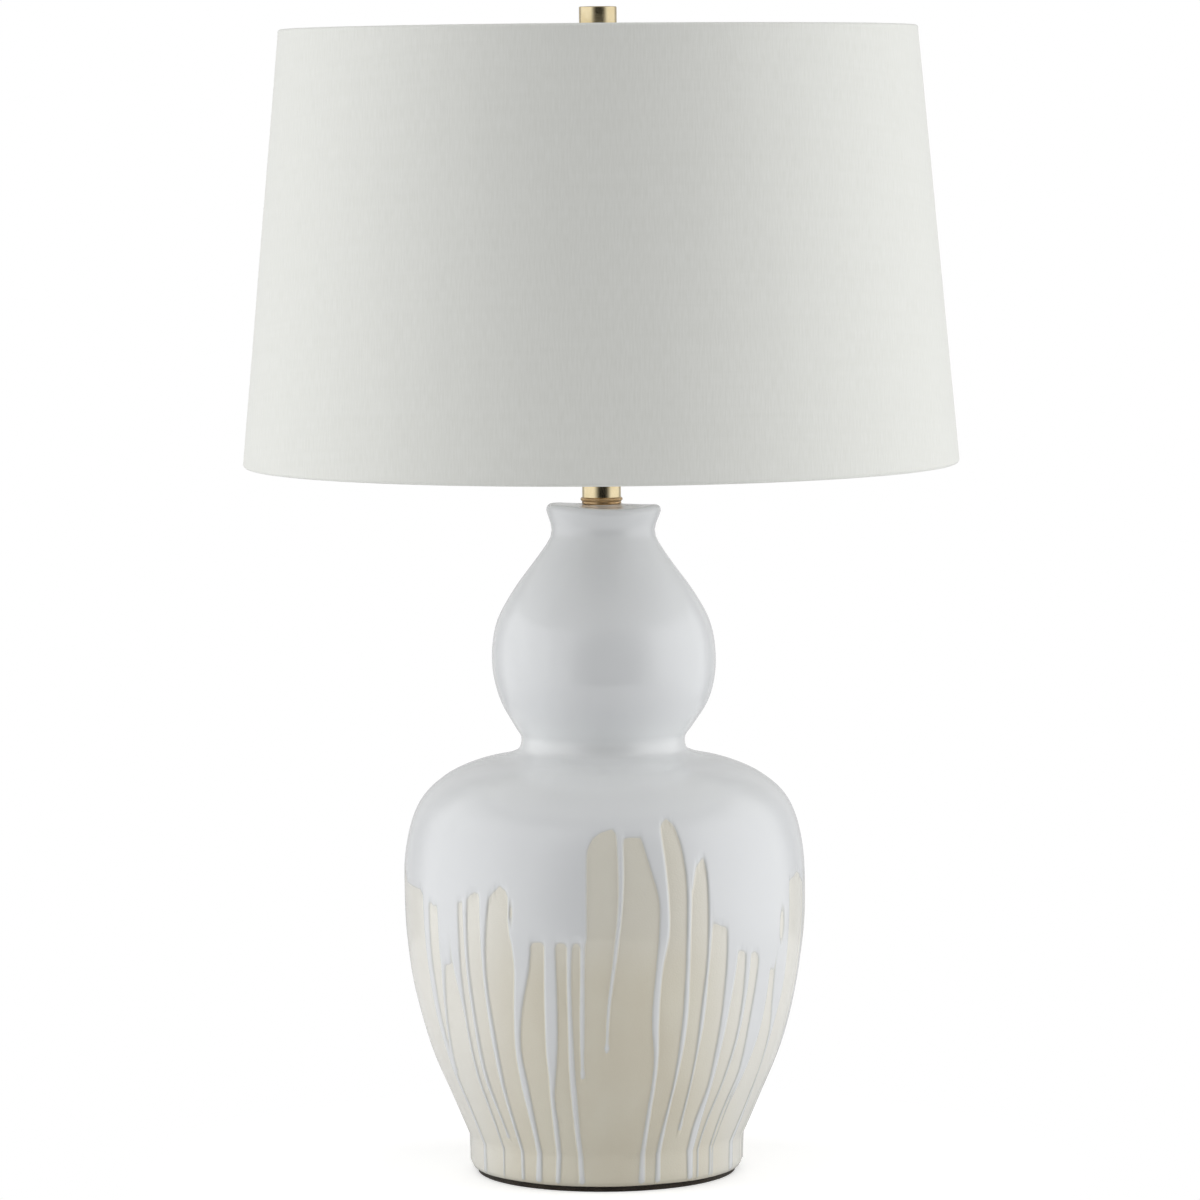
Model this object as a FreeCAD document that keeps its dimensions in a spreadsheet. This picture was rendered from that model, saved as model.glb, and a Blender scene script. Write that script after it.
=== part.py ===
import FreeCAD
import Part
import math
import os
import re
import Sketcher

# Table lamp: a glazed double gourd of ceramic on a felt pad, a brass neck, a turn-knob
# socket with a bulb, a wire harp, and a fabric drum shade held down by a brass finial.
# Millimetres, +Z up. The origin is the bottom centre of the pad, -Y is the front.

SIZES = {
    # Pad and foot of the ceramic body
    "pad_inset": 4.8,
    "pad_thickness": 3.0,
    "foot_radius": 92.6,
    "foot_edge": 5.0,
    "foot_height": 22.2,
    "foot_taper": 0.6,
    # Lower gourd: the outline touches the middle of each leg between two of these corners
    "flare_radius": 100.8,
    "flare_rise": 18.0,
    "thigh_radius": 122.7,
    "thigh_rise": 49.0,
    "belly_radius": 135.7,
    "belly_low_rise": 66.0,
    "belly_high_rise": 68.2,
    "shoulder_radius": 122.0,
    "shoulder_rise": 36.3,
    "shoulder_top_radius": 83.9,
    "shoulder_top_rise": 18.5,
    # Waist
    "waist_flare_radius": 62.3,
    "waist_flare_rise": 1.0,
    "waist_radius": 52.7,
    "waist_rise": 15.7,
    # Upper gourd
    "crown_foot_radius": 59.7,
    "crown_foot_rise": 3.2,
    "crown_radius": 75.8,
    "crown_low_rise": 29.1,
    "crown_high_rise": 38.7,
    "crown_shoulder_radius": 62.8,
    "crown_shoulder_rise": 24.3,
    "throat_flare_radius": 39.6,
    "throat_flare_rise": 30.6,
    "throat_radius": 33.1,
    "throat_rise": 12.3,
    "lip_radius": 38.6,
    "lip_rise": 13.2,
    "lip_band": 1.2,
    "lip_edge": 4.0,
    # Ceramic wall and the openings in it
    "ceramic_wall": 7.0,
    "ceramic_top_wall": 8.0,
    "foot_wall": 14.0,
    "recess_depth": 18.0,
    "flange_thickness": 7.0,
    "flange_opening_radius": 45.0,
    # Threaded pipe and what it clamps under the ceramic
    "pipe_radius": 5.1,
    "pipe_bore_radius": 3.6,
    "pipe_clearance": 0.1,
    "pipe_hole_clearance": 0.9,
    "pipe_tail": 2.0,
    "plate_margin": 2.0,
    "plate_thickness": 2.0,
    "gasket_thickness": 1.5,
    "gasket_width": 24.0,
    "gasket_margin": 3.0,
    "washer_radius": 9.0,
    "washer_thickness": 1.0,
    "nut_flats": 16.0,
    "nut_thickness": 4.5,
    # Cord inlet in the foot
    "inlet_height": 12.0,
    "inlet_bore_radius": 3.5,
    "inlet_wall": 1.0,
    "inlet_flange_radius": 6.3,
    "inlet_flange_thickness": 1.5,
    "inlet_clearance": 0.1,
    # Brass neck
    "ring_radius": 14.1,
    "ring_foot_height": 1.4,
    "ring_bead_height": 2.3,
    "ring_collar_height": 1.0,
    "ring_collar_inset": 0.9,
    "neck_radius": 13.1,
    "neck_wall": 1.2,
    "neck_height": 24.8,
    # Saddle that carries the harp
    "saddle_thickness": 1.6,
    "saddle_width": 12.7,
    "saddle_half_span": 33.0,
    "saddle_ear_width": 5.0,
    "saddle_ear_height": 8.0,
    "saddle_peg_height": 9.0,
    # Harp
    "wire_radius": 2.0,
    "harp_height": 279.4,
    "harp_half_width": 58.0,
    "harp_leg_height": 46.0,
    "harp_waist_height": 106.0,
    "harp_bend_height": 176.0,
    "harp_bend_radius": 45.0,
    "harp_crown_half_width": 15.0,
    "harp_crown_radius": 10.0,
    "harp_joint_gap": 0.2,
    "harp_eye_radius": 7.5,
    "harp_eye_thickness": 3.0,
    "sleeve_wall": 1.3,
    "sleeve_length": 16.0,
    "sleeve_clearance": 0.1,
    # Swivel on top of the harp
    "swivel_stem_radius": 2.3,
    "swivel_clearance": 0.08,
    "swivel_head_radius": 4.0,
    "swivel_head_height": 1.5,
    "seat_radius": 9.5,
    "seat_thickness": 2.0,
    "stud_radius": 3.05,
    "stud_height": 12.0,
    # Socket
    "cap_hub_radius": 8.5,
    "cap_hub_height": 4.0,
    "cap_shoulder_rise": 6.4,
    "cap_rim_rise": 7.0,
    "cap_radius": 17.8,
    "sheet_wall": 0.6,
    "set_screw_radius": 1.5,
    "set_screw_length": 5.5,
    "shell_height": 42.6,
    "shell_overlap": 4.0,
    "socket_fit": 0.1,
    "liner_wall": 0.6,
    "body_height": 14.6,
    "body_flat": 12.0,
    "wire_way_radius": 1.6,
    "wire_way_offset": 10.5,
    "terminal_level": 5.0,
    "terminal_head_radius": 3.2,
    "terminal_head_height": 1.8,
    "terminal_shank_radius": 1.6,
    "terminal_shank_length": 6.0,
    "screw_shell_bore": 13.2,
    "screw_shell_wall": 0.4,
    "screw_shell_height": 24.0,
    "contact_window_radius": 6.0,
    "contact_radius": 3.0,
    "contact_height": 1.5,
    # Turn knob of the socket
    "knob_level": 10.8,
    "spindle_radius": 2.0,
    "spindle_start": 4.0,
    "spindle_length": 24.0,
    "spindle_window": 1.2,
    "knob_radius": 6.5,
    "knob_tip_radius": 5.5,
    "knob_length": 14.0,
    "knob_stand_off": 1.9,
    # Bulb
    "bulb_tip_radius": 4.4,
    "bulb_tip_height": 1.2,
    "bulb_insulator_height": 4.2,
    "bulb_cap_radius": 12.95,
    "bulb_cap_wall": 0.3,
    "bulb_cap_height": 20.0,
    "bulb_neck_radius": 12.5,
    "bulb_neck_height": 30.0,
    "bulb_flare_rise": 27.0,
    "bulb_globe_rise": 70.6,
    "bulb_radius": 34.0,
    "bulb_wall": 0.8,
    "bulb_stem_radius": 11.5,
    "bulb_stem_height": 37.0,
    "bulb_stem_tip_radius": 3.0,
    "filament_wire_radius": 0.4,
    "filament_rise": 30.0,
    "filament_half_width": 12.0,
    # Shade
    "shade_top_radius": 214.8,
    "shade_bottom_radius": 241.3,
    "shade_height": 293.1,
    "shade_recess": 8.4,
    "hem_radius": 1.9,
    "ring_wire_radius": 1.2,
    "cover_thickness": 0.5,
    "liner_thickness": 0.6,
    "glue_gap": 0.1,
    "hub_radius": 15.9,
    "hub_thickness": 1.6,
    "hub_hole_clearance": 0.55,
    "arm_radius": 1.5,
    "arm_count": 3,
    # Finial
    "finial_radius": 12.7,
    "finial_height": 18.5,
    "finial_edge": 0.9,
    "finial_collar_radius": 7.5,
    "finial_collar_height": 4.0,
    "finial_spigot_radius": 5.5,
    "finial_spigot_height": 9.4,
    "finial_roof_gap": 1.0,
    "finial_clearance": 0.1,
}

# Heights and radii that follow from the sizes, each in words of the sizes above it
LEVELS = {
    "pad_radius": "foot_radius - pad_inset",
    "crease_radius": "foot_radius + foot_taper",
    "recess_radius": "foot_radius - foot_wall",
    "foot_top": "pad_thickness + foot_height",
    "flare_level": "foot_top + flare_rise",
    "thigh_level": "flare_level + thigh_rise",
    "belly_low": "thigh_level + belly_low_rise",
    "belly_high": "belly_low + belly_high_rise",
    "shoulder_level": "belly_high + shoulder_rise",
    "shoulder_top": "shoulder_level + shoulder_top_rise",
    "waist_flare_level": "shoulder_top + waist_flare_rise",
    "waist_level": "waist_flare_level + waist_rise",
    "crown_foot": "waist_level + crown_foot_rise",
    "crown_low": "crown_foot + crown_low_rise",
    "crown_high": "crown_low + crown_high_rise",
    "crown_shoulder": "crown_high + crown_shoulder_rise",
    "throat_flare": "crown_shoulder + throat_flare_rise",
    "throat_level": "throat_flare + throat_rise",
    "lip_low": "throat_level + lip_rise",
    "lip_level": "lip_low + lip_band",
    "ceramic_top": "lip_level + lip_edge",
    "recess_top": "pad_thickness + recess_depth",
    "flange_top": "recess_top + flange_thickness",
    "cavity_top": "ceramic_top - ceramic_top_wall",
    "pipe_hole": "pipe_radius + pipe_hole_clearance",
    "pipe_fit": "pipe_radius + pipe_clearance",
    "gasket_base": "recess_top - gasket_thickness",
    "plate_base": "gasket_base - plate_thickness",
    "washer_base": "plate_base - washer_thickness",
    "nut_base": "washer_base - nut_thickness",
    "pipe_base": "nut_base - pipe_tail",
    "plate_radius": "recess_radius - plate_margin",
    "gasket_radius": "recess_radius - gasket_margin",
    "bead_low": "ceramic_top + ring_foot_height",
    "bead_high": "bead_low + ring_bead_height",
    "neck_base": "bead_high + ring_collar_height",
    "saddle_base": "neck_base + neck_height",
    "saddle_top": "saddle_base + saddle_thickness",
    "ear_top": "saddle_top + saddle_ear_height",
    "peg_top": "ear_top + saddle_peg_height",
    "seat_top": "saddle_top + harp_height",
    "seat_base": "seat_top - seat_thickness",
    "eye_top": "seat_base - swivel_clearance",
    "eye_base": "eye_top - harp_eye_thickness",
    "head_top": "eye_base - swivel_clearance",
    "eye_hole": "swivel_stem_radius + swivel_clearance",
    "cap_hub_top": "saddle_top + cap_hub_height",
    "cap_shoulder": "cap_hub_top + cap_shoulder_rise",
    "cap_rim": "cap_shoulder + cap_rim_rise",
    "cap_inner": "cap_radius - sheet_wall",
    "pipe_top": "cap_hub_top + pipe_tail",
    "shell_base": "cap_rim - shell_overlap",
    "shell_top": "shell_base + shell_height",
    "shell_radius": "cap_inner - socket_fit",
    "shell_inner": "shell_radius - sheet_wall",
    "liner_radius": "shell_inner - socket_fit",
    "liner_inner": "liner_radius - liner_wall",
    "body_radius": "liner_inner - socket_fit",
    "body_top": "shell_base + body_height",
    "screw_shell_radius": "screw_shell_bore + screw_shell_wall",
    "contact_top": "body_top + contact_height",
    "knob_axis": "shell_base + knob_level",
    "terminal_axis": "shell_base + terminal_level",
    "window_radius": "spindle_radius + spindle_window",
    "knob_start": "cap_radius + knob_stand_off",
    "tip_top": "contact_top + bulb_tip_height",
    "insulator_top": "tip_top + bulb_insulator_height",
    "bulb_cap_top": "insulator_top + bulb_cap_height",
    "bulb_neck_top": "insulator_top + bulb_neck_height",
    "bulb_flare_top": "bulb_neck_top + bulb_flare_rise",
    "bulb_top": "bulb_flare_top + bulb_globe_rise",
    "stem_top": "insulator_top + bulb_stem_height",
    "hub_top": "seat_top + hub_thickness",
    "shade_top": "hub_top + shade_recess",
    "shade_base": "shade_top - shade_height",
    "top_wire_level": "shade_top - hem_radius",
    "bottom_wire_level": "shade_base + hem_radius",
    "top_wire_ring": "shade_top_radius - hem_radius",
    "bottom_wire_ring": "shade_bottom_radius - hem_radius",
    "cover_top": "top_wire_level - hem_radius - glue_gap",
    "cover_base": "bottom_wire_level + hem_radius + glue_gap",
    "collar_top": "hub_top + finial_collar_height",
    "spigot_top": "collar_top + finial_spigot_height",
    "spigot_roof": "spigot_top + finial_roof_gap",
    "finial_top": "collar_top + finial_height",
    "stud_bore": "stud_radius + finial_clearance",
    "sleeve_bore": "wire_radius + sleeve_clearance",
}

doc = FreeCAD.newDocument("gourd_lamp")
sheet = doc.addObject("Spreadsheet::Sheet", "Sizes")
for row, (alias, number) in enumerate(SIZES.items(), start=1):
    sheet.set(f"A{row}", alias)
    sheet.set(f"B{row}", str(number))
    sheet.setAlias(f"B{row}", alias)
doc.recompute()

pieces = {}


def bound(words):
    """An expression on the sheet's cells, with each level written out in sizes."""

    def spell(match):
        name = match.group()
        if name in LEVELS:
            return "(" + bound(LEVELS[name]) + ")"
        return "Sizes." + name if name in SIZES else name

    return re.sub(r"[a-z][a-z_]*", spell, words)


def number(words):
    """The value that an expression has now."""
    return float(sheet.evalExpression(bound(words)))


def keep(label, thing):
    """Names a finished sub-part, which gets a file of its own."""
    thing.Label = label
    pieces[label] = thing
    return thing


def tie(thing, **sizes):
    """Binds properties of a feature to expressions on the sheet."""
    for name, words in sizes.items():
        thing.setExpression(name.replace("_", "."), bound(words))
    return thing


def plane(body, role):
    """One of a body's own origin planes."""
    return next(f for f in body.Origin.OriginFeatures if f.Role == role)


def add_sketch(body, role, name):
    sketch = body.newObject("Sketcher::SketchObject", name)
    sketch.AttachmentSupport = [(plane(body, role), "")]
    sketch.MapMode = "FlatFace"
    return sketch


def pin_point(sketch, geometry, end, across, up):
    """Places a point of a sketch at two expressions, or on the upright axis."""
    for kind, words in (("DistanceX", across), ("DistanceY", up)):
        if words == "0":
            axis = -2 if kind == "DistanceX" else -1
            sketch.addConstraint(Sketcher.Constraint("PointOnObject", geometry, end, axis))
            continue
        at = Sketcher.Constraint(kind, -1, 1, geometry, end, number(words))
        index = sketch.addConstraint(at)
        name = f"{'across' if kind == 'DistanceX' else 'up'}{index}"
        sketch.renameConstraint(index, name)
        sketch.setExpression(f"Constraints.{name}", bound(words))


def draw_outline(sketch, points):
    """A closed outline through corners. Points marked as poles bend it between corners."""
    count = len(points)
    spots = [FreeCAD.Vector(number(p[0]), number(p[1]), 0) for p in points]
    corners = [i for i, p in enumerate(points) if len(p) == 2]
    edges = []
    for start, end in zip(corners, corners[1:] + [corners[0] + count]):
        run = [i % count for i in range(start, end + 1)]
        if len(run) == 2:
            line = Part.LineSegment(spots[run[0]], spots[run[1]])
            edge = sketch.addGeometry(line, False)
        else:
            spans = len(run) - 2
            knots = list(range(spans + 1))
            times = [3] + [1] * (spans - 1) + [3]
            curve = Part.BSplineCurve()
            curve.buildFromPolesMultsKnots([spots[i] for i in run], times, knots, False, 2)
            edge = sketch.addGeometry(curve, False)
            first = sketch.GeometryCount
            sketch.exposeInternalGeometry(edge)
            for offset, i in enumerate(run[1:-1], start=1):
                pin_point(sketch, first + offset, 3, points[i][0], points[i][1])
        edges.append(edge)
    for k, edge in enumerate(edges):
        following = edges[(k + 1) % len(edges)]
        sketch.addConstraint(Sketcher.Constraint("Coincident", edge, 2, following, 1))
        pin_point(sketch, edge, 1, *points[corners[k]])


def lathe(label, points, centre=None):
    """A turned piece: an outline of radius and height, revolved about the upright axis."""
    body = doc.addObject("PartDesign::Body", label)
    sketch = add_sketch(body, "XZ_Plane", label + "_outline")
    draw_outline(sketch, points)
    turn = body.newObject("PartDesign::Revolution", label + "_turned")
    turn.Profile = sketch
    turn.ReferenceAxis = (sketch, ["V_Axis"])
    turn.Angle = 360
    if centre:
        tie(body, Placement_Base_x=centre[0], Placement_Base_y=centre[1])
    return keep(label, body)


def tube(label, inner, outer, base, top, centre=None):
    """A plain ring or pipe."""
    corners = [(inner, base), (outer, base), (outer, top), (inner, top)]
    return lathe(label, corners, centre)


def bore(body, name, role, across, up, radius, depth, reverse=False):
    """A round hole, cut from one of the body's origin planes."""
    sketch = add_sketch(body, role, name + "_circle")
    spot = FreeCAD.Vector(number(across), number(up), 0)
    normal = FreeCAD.Vector(0, 0, 1)
    circle = sketch.addGeometry(Part.Circle(spot, normal, number(radius)), False)
    pin_point(sketch, circle, 3, across, up)
    index = sketch.addConstraint(Sketcher.Constraint("Radius", circle, number(radius)))
    sketch.renameConstraint(index, "radius")
    sketch.setExpression("Constraints.radius", bound(radius))
    doc.recompute()
    before = body.Tip.Shape.Volume
    cut = body.newObject("PartDesign::Pocket", name)
    cut.Profile = sketch
    cut.Length = number(depth)
    cut.setExpression("Length", bound(depth))
    cut.Reversed = reverse
    doc.recompute()
    if cut.Shape.Volume >= before:
        raise RuntimeError(f"{name} removes nothing")


def cylinder(name, radius, length, angles=(0, 0, 0), across="0", along="0", up="0"):
    """A primitive rod. The angles are yaw, pitch and roll in degrees."""
    rod = doc.addObject("Part::Cylinder", name)
    rod.Placement.Rotation = FreeCAD.Rotation(*angles)
    tie(rod, Radius=radius, Height=length)
    for axis, words in zip("xyz", (across, along, up)):
        if words != "0":
            rod.setExpression(f"Placement.Base.{axis}", bound(words))
    return rod


def block(name, length, width, height, across, along, up):
    box = doc.addObject("Part::Box", name)
    tie(box, Length=length, Width=width, Height=height)
    tie(box, Placement_Base_x=across, Placement_Base_y=along, Placement_Base_z=up)
    return box


def torus(name, ring, section, level):
    ring_piece = doc.addObject("Part::Torus", name)
    tie(ring_piece, Radius1=ring, Radius2=section, Placement_Base_z=level)
    return ring_piece


def joined(name, members):
    fused = doc.addObject("Part::MultiFuse", name)
    fused.Shapes = members
    return fused


def less(name, base, tool):
    cut = doc.addObject("Part::Cut", name)
    cut.Base = base
    cut.Tool = tool
    return cut


def bent_path(corners, radii):
    """Straight runs through the corners, joined by arcs that are tangent to both runs."""
    edges = []
    start = corners[0]
    for before, corner, after, radius in zip(corners, corners[1:], corners[2:], radii):
        back = (before - corner).normalize()
        ahead = (after - corner).normalize()
        half = back.getAngle(ahead) / 2
        reach = radius / math.tan(half)
        middle = corner + (back + ahead).normalize() * (radius / math.sin(half) - radius)
        edges.append(Part.LineSegment(start, corner + back * reach).toShape())
        edges.append(Part.Arc(corner + back * reach, middle, corner + ahead * reach).toShape())
        start = corner + ahead * reach
    edges.append(Part.LineSegment(start, corners[-1]).toShape())
    return Part.Wire(edges)


# The ceramic body, one revolved wall: up the outside, over the lip, down the pipe hole,
# and back along the inside. Each corner of the outside has a partner inside the wall,
# moved inwards and upwards by these shares of its thickness.
gourd = [
    ("flare_radius", "flare_level", -0.96, 0.30),
    ("thigh_radius", "thigh_level", -0.97, 0.25),
    ("belly_radius", "belly_low", -1.0, 0.0),
    ("belly_radius", "belly_high", -1.0, -0.2),
    ("shoulder_radius", "shoulder_level", -0.75, -0.75),
    ("shoulder_top_radius", "shoulder_top", -0.2, -1.0),
    ("waist_flare_radius", "waist_flare_level", -0.55, -0.95),
    ("waist_radius", "waist_level", -1.0, -0.3),
    ("crown_foot_radius", "crown_foot", -1.0, 0.4),
    ("crown_radius", "crown_low", -1.0, 0.2),
    ("crown_radius", "crown_high", -1.0, -0.3),
    ("crown_shoulder_radius", "crown_shoulder", -0.85, -0.5),
    ("throat_flare_radius", "throat_flare", -0.9, -0.6),
]
outside = [(radius, level, "pole") for radius, level, inwards, upwards in gourd]
inside = [
    (f"{radius} + ceramic_wall * {inwards}", f"{level} + ceramic_wall * {upwards}", "pole")
    for radius, level, inwards, upwards in reversed(gourd)
]
ceramic = lathe(
    "ceramic_body",
    [
        ("recess_radius", "pad_thickness"),
        ("foot_radius - foot_edge", "pad_thickness"),
        ("foot_radius", "pad_thickness", "pole"),
        ("foot_radius", "pad_thickness + foot_edge"),
        ("crease_radius", "foot_top"),
        *outside,
        ("throat_radius", "throat_level", "pole"),
        ("lip_radius", "lip_low", "pole"),
        ("lip_radius", "lip_level"),
        ("lip_radius", "ceramic_top", "pole"),
        ("lip_radius - lip_edge", "ceramic_top"),
        ("pipe_hole", "ceramic_top"),
        ("pipe_hole", "cavity_top"),
        ("throat_radius - ceramic_wall", "cavity_top"),
        *inside,
        ("crease_radius - ceramic_wall", "flange_top"),
        ("flange_opening_radius", "flange_top"),
        ("flange_opening_radius", "recess_top"),
        ("recess_radius", "recess_top"),
    ],
)
inlet_hole = "inlet_bore_radius + inlet_wall + inlet_clearance"
bore(ceramic, "cord_hole", "XZ_Plane", "0", "inlet_height", inlet_hole, "foot_radius + foot_edge")

# Under the ceramic: the pad, and the plate that the threaded pipe pulls up against it
pad = [("0", "0"), ("pad_radius", "0"), ("pad_radius", "pad_thickness"), ("0", "pad_thickness")]
lathe("felt_pad", pad)
tube("base_plate", "pipe_hole", "plate_radius", "plate_base", "gasket_base")
tube("base_gasket", "gasket_radius - gasket_width", "gasket_radius", "gasket_base", "recess_top")
tube("lock_washer", "pipe_fit", "washer_radius", "washer_base", "plate_base")
tube("lamp_pipe", "pipe_bore_radius", "pipe_radius", "pipe_base", "pipe_top")

nut = doc.addObject("Part::Prism", "nut_blank")
tie(nut, Circumradius="nut_flats / sqrt(3)", Height="nut_thickness", Placement_Base_z="nut_base")
nut_bore = cylinder("nut_bore", "pipe_fit", "nut_thickness", up="nut_base")
keep("pipe_nut", less("pipe_nut", nut, nut_bore))

# The cord inlet: a flanged bushing through the back of the foot
bushing = lathe(
    "cord_bushing",
    [
        ("inlet_bore_radius", "recess_radius"),
        ("inlet_bore_radius + inlet_wall", "recess_radius"),
        ("inlet_bore_radius + inlet_wall", "foot_radius + foot_taper"),
        ("inlet_flange_radius", "foot_radius + foot_taper"),
        ("inlet_flange_radius", "foot_radius + foot_taper + inlet_flange_thickness"),
        ("inlet_bore_radius", "foot_radius + foot_taper + inlet_flange_thickness"),
    ],
)
bushing.Placement.Rotation = FreeCAD.Rotation(FreeCAD.Vector(1, 0, 0), -90)
tie(bushing, Placement_Base_z="inlet_height")

# The brass neck, on a beaded ring
lathe(
    "neck_ring",
    [
        ("pipe_fit", "ceramic_top"),
        ("neck_radius", "ceramic_top"),
        ("ring_radius", "ceramic_top", "pole"),
        ("ring_radius", "bead_low"),
        ("ring_radius", "bead_high", "pole"),
        ("ring_radius - ring_collar_inset", "bead_high"),
        ("ring_radius - ring_collar_inset", "neck_base"),
        ("pipe_fit", "neck_base"),
    ],
)
neck_cap_base = "saddle_base - neck_wall"
tube("neck_tube", "neck_radius - neck_wall", "neck_radius", "neck_base", neck_cap_base)
tube("neck_cap", "pipe_fit", "neck_radius", neck_cap_base, "saddle_base")

# The saddle: a strip across the pipe, with an ear and a round peg at each end
strip = block(
    "saddle_strip",
    "2 * saddle_half_span + saddle_ear_width",
    "saddle_width",
    "saddle_thickness",
    "-saddle_half_span - saddle_ear_width / 2",
    "-saddle_width / 2",
    "saddle_base",
)
saddle_members = [strip]
for side, sign in (("left", "-"), ("right", "")):
    ear = block(
        f"saddle_ear_{side}",
        "saddle_ear_width",
        "saddle_width / 2",
        "saddle_ear_height",
        f"{sign}saddle_half_span - saddle_ear_width / 2",
        "-saddle_width / 4",
        "saddle_top",
    )
    peg = cylinder(
        f"saddle_peg_{side}",
        "wire_radius",
        "saddle_peg_height",
        across=f"{sign}saddle_half_span",
        up="ear_top",
    )
    saddle_members += [ear, peg]
saddle_blank = joined("saddle_blank", saddle_members)
saddle_hole = cylinder("saddle_hole", "pipe_fit", "saddle_thickness", up="saddle_base")
keep("harp_saddle", less("harp_saddle", saddle_blank, saddle_hole))

# The harp: one wire from peg to peg, flattened into an eye at the top. Its sleeves slip
# down over the pegs and lock it.
middle = number("(eye_top + eye_base) / 2")
foot = number("peg_top + harp_joint_gap")
base = number("saddle_top")
half = number("saddle_half_span")
widest = number("harp_half_width")
crown = number("harp_crown_half_width")
right_side = [
    FreeCAD.Vector(half, 0, foot),
    FreeCAD.Vector(half, 0, base + number("harp_leg_height")),
    FreeCAD.Vector(widest, 0, base + number("harp_waist_height")),
    FreeCAD.Vector(widest, 0, base + number("harp_bend_height")),
    FreeCAD.Vector(crown, 0, middle),
]
left_side = [FreeCAD.Vector(-v.x, 0, v.z) for v in reversed(right_side)]
bend = number("harp_bend_radius")
crown_bend = number("harp_crown_radius")
path = bent_path(right_side + left_side, [bend, bend, bend, crown_bend, crown_bend, bend, bend, bend])
ring = Part.makeCircle(number("wire_radius"), right_side[0], FreeCAD.Vector(0, 0, 1))
wire = path.makePipeShell([Part.Wire([ring])], True, True)
eye_low = FreeCAD.Vector(0, 0, number("eye_base"))
thickness = number("harp_eye_thickness")
eye = Part.makeCylinder(number("harp_eye_radius"), thickness, eye_low)
flat = 2 * crown
above = FreeCAD.Vector(-flat, -flat, number("eye_top"))
below = FreeCAD.Vector(0, 0, -thickness)
shavings = [
    Part.makeBox(2 * flat, 2 * flat, thickness, above),
    Part.makeCylinder(number("harp_eye_radius"), thickness, eye_low + below),
    Part.makeCylinder(number("eye_hole"), 3 * thickness, eye_low + below),
]
harp = doc.addObject("Part::Feature", "harp_bow")
harp.Shape = wire.fuse(eye).cut(shavings)
keep("harp_bow", harp)
for side, sign in (("left", "-"), ("right", "")):
    tube(
        f"harp_sleeve_{side}",
        "sleeve_bore",
        "sleeve_bore + sleeve_wall",
        "ear_top",
        "ear_top + sleeve_length",
        (f"{sign}saddle_half_span", "0"),
    )

# The swivel riveted into the eye: a seat for the shade's hub, and the finial's stud
lathe(
    "harp_swivel",
    [
        ("0", "head_top - swivel_head_height"),
        ("swivel_head_radius", "head_top - swivel_head_height"),
        ("swivel_head_radius", "head_top"),
        ("swivel_stem_radius", "head_top"),
        ("swivel_stem_radius", "seat_base"),
        ("seat_radius", "seat_base"),
        ("seat_radius", "seat_top"),
        ("stud_radius", "seat_top"),
        ("stud_radius", "seat_top + stud_height"),
        ("0", "seat_top + stud_height"),
    ],
)

# The socket: a cap on the pipe, a shell in the cap, a liner in the shell, and the block
# that holds the screw shell, the contact, the terminals and the switch
cap = lathe(
    "socket_cap",
    [
        ("pipe_fit", "saddle_top"),
        ("cap_hub_radius", "saddle_top"),
        ("cap_hub_radius", "cap_hub_top - sheet_wall"),
        ("cap_radius", "cap_shoulder - sheet_wall"),
        ("cap_radius", "cap_rim"),
        ("cap_inner", "cap_rim"),
        ("cap_inner", "cap_shoulder"),
        ("cap_hub_radius", "cap_hub_top"),
        ("pipe_fit", "cap_hub_top"),
    ],
)
hub_middle = "saddle_top + cap_hub_height / 2"
bore(cap, "set_screw_hole", "XZ_Plane", "0", hub_middle, "set_screw_radius + socket_fit", "cap_radius")
screw = cylinder("socket_set_screw", "set_screw_radius", "set_screw_length", (0, 0, -90))
tie(screw, Placement_Base_y="pipe_radius + pipe_clearance / 2", Placement_Base_z=hub_middle)
keep("socket_set_screw", screw)
shell = tube("socket_shell", "shell_inner", "shell_radius", "shell_base", "shell_top")
liner = tube("insulating_sleeve", "liner_inner", "liner_radius", "shell_base", "shell_top")
for sleeve, name in ((shell, "shell_window"), (liner, "liner_window")):
    bore(sleeve, name, "XZ_Plane", "0", "knob_axis", "window_radius", "cap_radius", True)

body_blank = cylinder("body_blank", "body_radius", "body_height", up="shell_base")
body_cuts = [
    cylinder("spindle_way", "spindle_radius + socket_fit", "cap_radius", (0, 0, 90), up="knob_axis")
]
terminals = []
for side, sign, pitch in (("left", "-", -90), ("right", "", 90)):
    flat_start = f"{sign}body_flat" + (" - body_radius" if sign else "")
    flat_cut = block(
        f"body_flat_{side}",
        "body_radius",
        "2 * body_radius",
        "body_height",
        flat_start,
        "-body_radius",
        "shell_base",
    )
    shank_start = f"{sign}(body_flat - terminal_shank_length)"
    shank_way = cylinder(
        f"shank_way_{side}",
        "terminal_shank_radius + socket_fit",
        "body_radius",
        (0, pitch, 0),
        across=shank_start,
        up="terminal_axis",
    )
    wire_way = cylinder(
        f"wire_way_{side}",
        "wire_way_radius",
        "body_height",
        across=f"{sign}wire_way_offset / 2",
        along="wire_way_offset",
        up="shell_base",
    )
    body_cuts += [flat_cut, shank_way, wire_way]
    shank = cylinder(
        f"terminal_shank_{side}",
        "terminal_shank_radius",
        "terminal_shank_length",
        (0, pitch, 0),
        across=shank_start,
        up="terminal_axis",
    )
    head = cylinder(
        f"terminal_head_{side}",
        "terminal_head_radius",
        "terminal_head_height",
        (0, pitch, 0),
        across=f"{sign}body_flat",
        up="terminal_axis",
    )
    terminals += [shank, head]
keep("socket_body", less("socket_body", body_blank, joined("body_cuts", body_cuts)))
keep("terminal_screws", joined("terminal_screws", terminals))
screw_shell_floor = "body_top + screw_shell_wall"
screw_shell_top = "body_top + screw_shell_height"
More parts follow.
